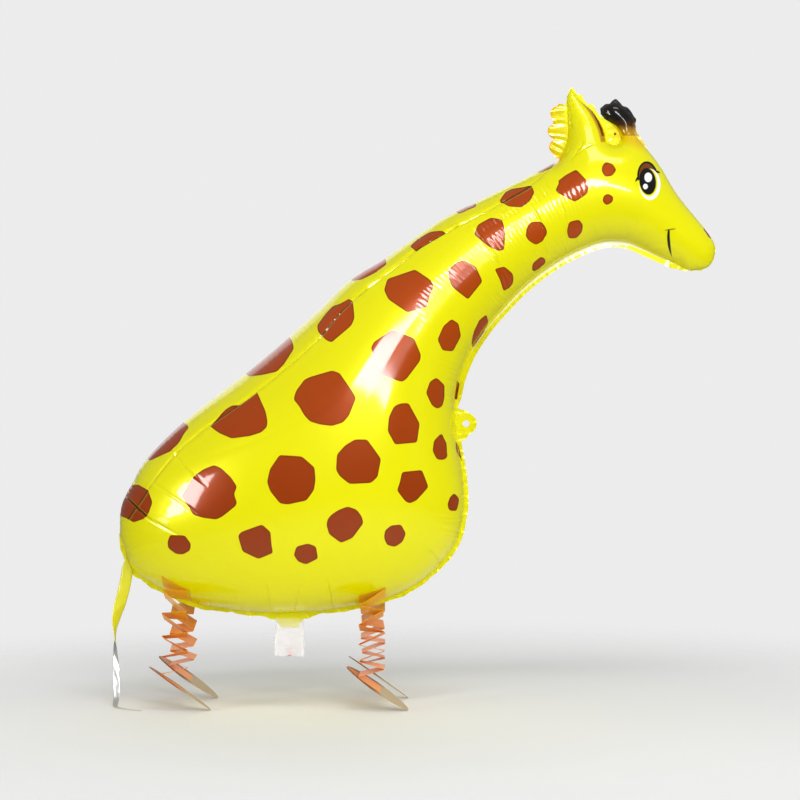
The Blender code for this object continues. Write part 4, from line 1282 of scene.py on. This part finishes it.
def leg_rows(leg_x, side, frame, seed):
    """All rows of one leg's strip, from the pad on the belly to the fold on the foot."""
    chance = np.random.default_rng(seed)
    heel, to_toe, across, up = frame
    rows = pad_rows(leg_x, side)
    first, last_pad = rows[0], rows[-1]
    middle_column = COLUMNS // 2
    top_across = (last_pad[-1] - last_pad[0]).normalized()
    glued = heel + HEEL_REACH * to_toe + (0.5 * FOOT_THICKNESS + 0.5 * LEG_FILM + GLUE) * up
    last = glued + FOLD_NIP * up
    below = [point - Vector((0.0, 0.0, FOLD_NIP)) for point in last_pad]
    rows.append([(a + b) / 2 + Vector((0.5 * FOLD_NIP, 0.0, 0.0)) for a, b in zip(last_pad, below)])
    rows.append(below)
    for k in range(2, FOLD_COUNT):
        part_down = (k - 1) / (FOLD_COUNT - 1)
        drop = 1.0 - (1.0 - part_down) ** FOLD_STRETCH
        way = 1.0 if k % 2 else -1.0
        middle = (last_pad if k % 2 else first)[middle_column].lerp(last, drop)
        middle.x = leg_x + way * (0.5 * FOLD_LENGTH - chance.uniform(0.0, FOLD_SHORT))
        middle.y += chance.uniform(-FOLD_DRIFT, FOLD_DRIFT)
        lie = top_across.lerp(across, part_down)
        lie += Vector((chance.uniform(-FOLD_TWIST, FOLD_TWIST), 0.0, chance.uniform(-FOLD_TWIST, FOLD_TWIST)))
        crease = crease_rows(middle, lie.normalized(), way)
        rows.extend(fold_between(rows[-1], crease[0], chance.uniform(*FOLD_BOW)))
        rows.extend(crease)
    turn = 0.5 * (last + glued) - 0.5 * FOLD_NIP * to_toe
    crease = [strip_row(point, across) for point in (last, turn, glued)]
    rows.extend(fold_between(rows[-1], crease[0], LAST_BOW))
    rows.extend(crease)
    for share in shares(FOLD_ROWS)[1:]:
        rows.append(strip_row(glued + share * FOLD_LENGTH * to_toe, across))
    return rows


FILM_ORANGE = (0.86, 0.28, 0.0)
FILM_DEEP = (0.68, 0.15, 0.0)
FILM_PALE = (0.90, 0.44, 0.0)
FILM_GOLD = (1.0, 0.62, 0.02)
GOLD_FROM = 0.115               # height where the film begins to show the yellow foil through it
orange_film = Look("orange_film", FILM_ORANGE)
orange_film.colour = orange_film.ramp(orange_film.noise(55.0, 3.0), (
    (0.0, FILM_DEEP), (0.42, FILM_ORANGE), (0.60, FILM_ORANGE), (0.78, FILM_PALE)))
clear_top = orange_film.place().part("Z").below(GOLD_FROM, 0.018, low=0.0)
orange_film.paint(FILM_GOLD, clear_top * 0.75)
orange_film.bump(orange_film.noise(260.0), 0.00025)
orange_film.finish(0.3, specular=0.12, alpha=clear_top * -0.38 + 0.98)
for seed, ((pair, hand), foot_place) in enumerate(frames.items(), LEG_SEED):
    leg_name = f"{pair}_leg_{hand}"
    low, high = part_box(f"{pair}_leg_right")
    strip = sheet_of_rows(f"{leg_name}_film", leg_rows(0.5 * (low.x + high.x), SIDES[hand], foot_place, seed))
    thicken(strip, LEG_FILM)
    strip.data.set_sharp_from_angle(angle=math.radians(60))
    strip.data.materials.append(orange_film.material)
    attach(strip, "root")
    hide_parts(leg_name)

# Floor and light
# A pale floor that fades out with distance into the studio's white, and large soft lights round the giraffe.
# The slanted glints lay the bright band along the neck and the body, and the one beside the rump its bright
# patch. They show in the gloss only, and lights that don't show in it light the colours.
FLOOR_SPAN = 24.0
FLOOR_FADE = (0.675, 0.375)     # middle and half-width of the ring in which the floor fades out
FLOOR_WHITE = (0.875, 0.88, 0.88)
STUDIO_WHITE = (0.95, 0.955, 0.95)
ROOM_LOW, ROOM_HIGH = 0.20, 0.45        # how brightly the room lights the giraffe, level and from above
BACKDROP = 0.88                 # how bright the backdrop is
bpy.ops.object.select_all(action="DESELECT")
bpy.ops.mesh.primitive_circle_add(vertices=96, radius=FLOOR_SPAN / 2, fill_type="NGON")
floor = bpy.context.object
floor.name = "floor"
pale_floor = Look("pale_floor", FLOOR_WHITE)
away = node(pale_floor.tree, "VectorMath", {0: pale_floor.place()}, "Value", operation="LENGTH")
pale_floor.finish(0.85, specular=0.1, alpha=away.below(*FLOOR_FADE))
floor.data.materials.append(pale_floor.material)

world = bpy.data.worlds.new("studio")
bpy.context.scene.world = world
world.use_nodes = True
tree = world.node_tree
upward = node(tree, "TexCoord", {}, "Generated").part("Z")
room = node(tree, "MapRange", {"Value": upward, "From Max": 0.9, "To Min": ROOM_LOW, "To Max": ROOM_HIGH})
seen = {"Factor": node(tree, "LightPath", {}, "Is Camera Ray"), "A": room, "B": BACKDROP}
fill(tree.nodes["Background"], {"Color": STUDIO_WHITE, "Strength": node(tree, "Mix", seen, "Result")})


def softbox(name, place, aim, width, height, power, roll=0.0, shines=True, mirrored=True):
    """A rectangular light that faces a point, that shines on the colours, shows in the gloss, or both."""
    lamp = bpy.data.lights.new(name, "AREA")
    lamp.shape = "RECTANGLE"
    lamp.size = width
    lamp.size_y = height
    lamp.energy = power
    made = bpy.data.objects.new(name, lamp)
    made.location = place
    facing = (Vector(aim) - Vector(place)).to_track_quat("-Z", "Y").to_matrix()
    made.rotation_euler = (facing @ Matrix.Rotation(math.radians(roll), 3, "Z")).to_euler()
    made.visible_diffuse = shines
    made.visible_glossy = mirrored
    made.visible_camera = False
    bpy.context.scene.collection.objects.link(made)


BAND_AIM = (0.0, 0.0, 0.45)
BAND_ROLL = -31
RUMP_LIGHT = ((-2.63, -1.86, 0.62), (-0.3, 0.0, 0.3), 0.8, 1.2)     # place, aim, width and height
softbox("neck_glint", (0.31, -2.6, 1.65), BAND_AIM, 0.97, 0.38, 42, BAND_ROLL, shines=False)
softbox("band_glint", (1.07, -2.6, 1.185), BAND_AIM, 0.84, 0.17, 15, BAND_ROLL, shines=False)
softbox("band_light", (0.72, -2.6, 1.42), BAND_AIM, 1.9, 0.6, 24, BAND_ROLL, mirrored=False)
softbox("rump_glint", *RUMP_LIGHT, 80, shines=False)
softbox("rump_light", *RUMP_LIGHT, 35, mirrored=False)
softbox("top_light", (0.4, -1.3, 2.7), (0.0, 0.0, 0.4), 1.3, 0.5, 14)
softbox("front_fill", (0.6, -2.8, 0.7), (0.0, 0.0, 0.35), 2.6, 1.6, 27, mirrored=False)
softbox("side_fill", (2.2, -1.0, 0.4), (0.1, 0.0, 0.4), 1.0, 1.0, 17, mirrored=False)
softbox("back_light", (-0.3, 2.6, 1.5), (0.0, 0.0, 0.4), 3.0, 2.0, 20)
bpy.context.scene.view_settings.view_transform = "Standard"
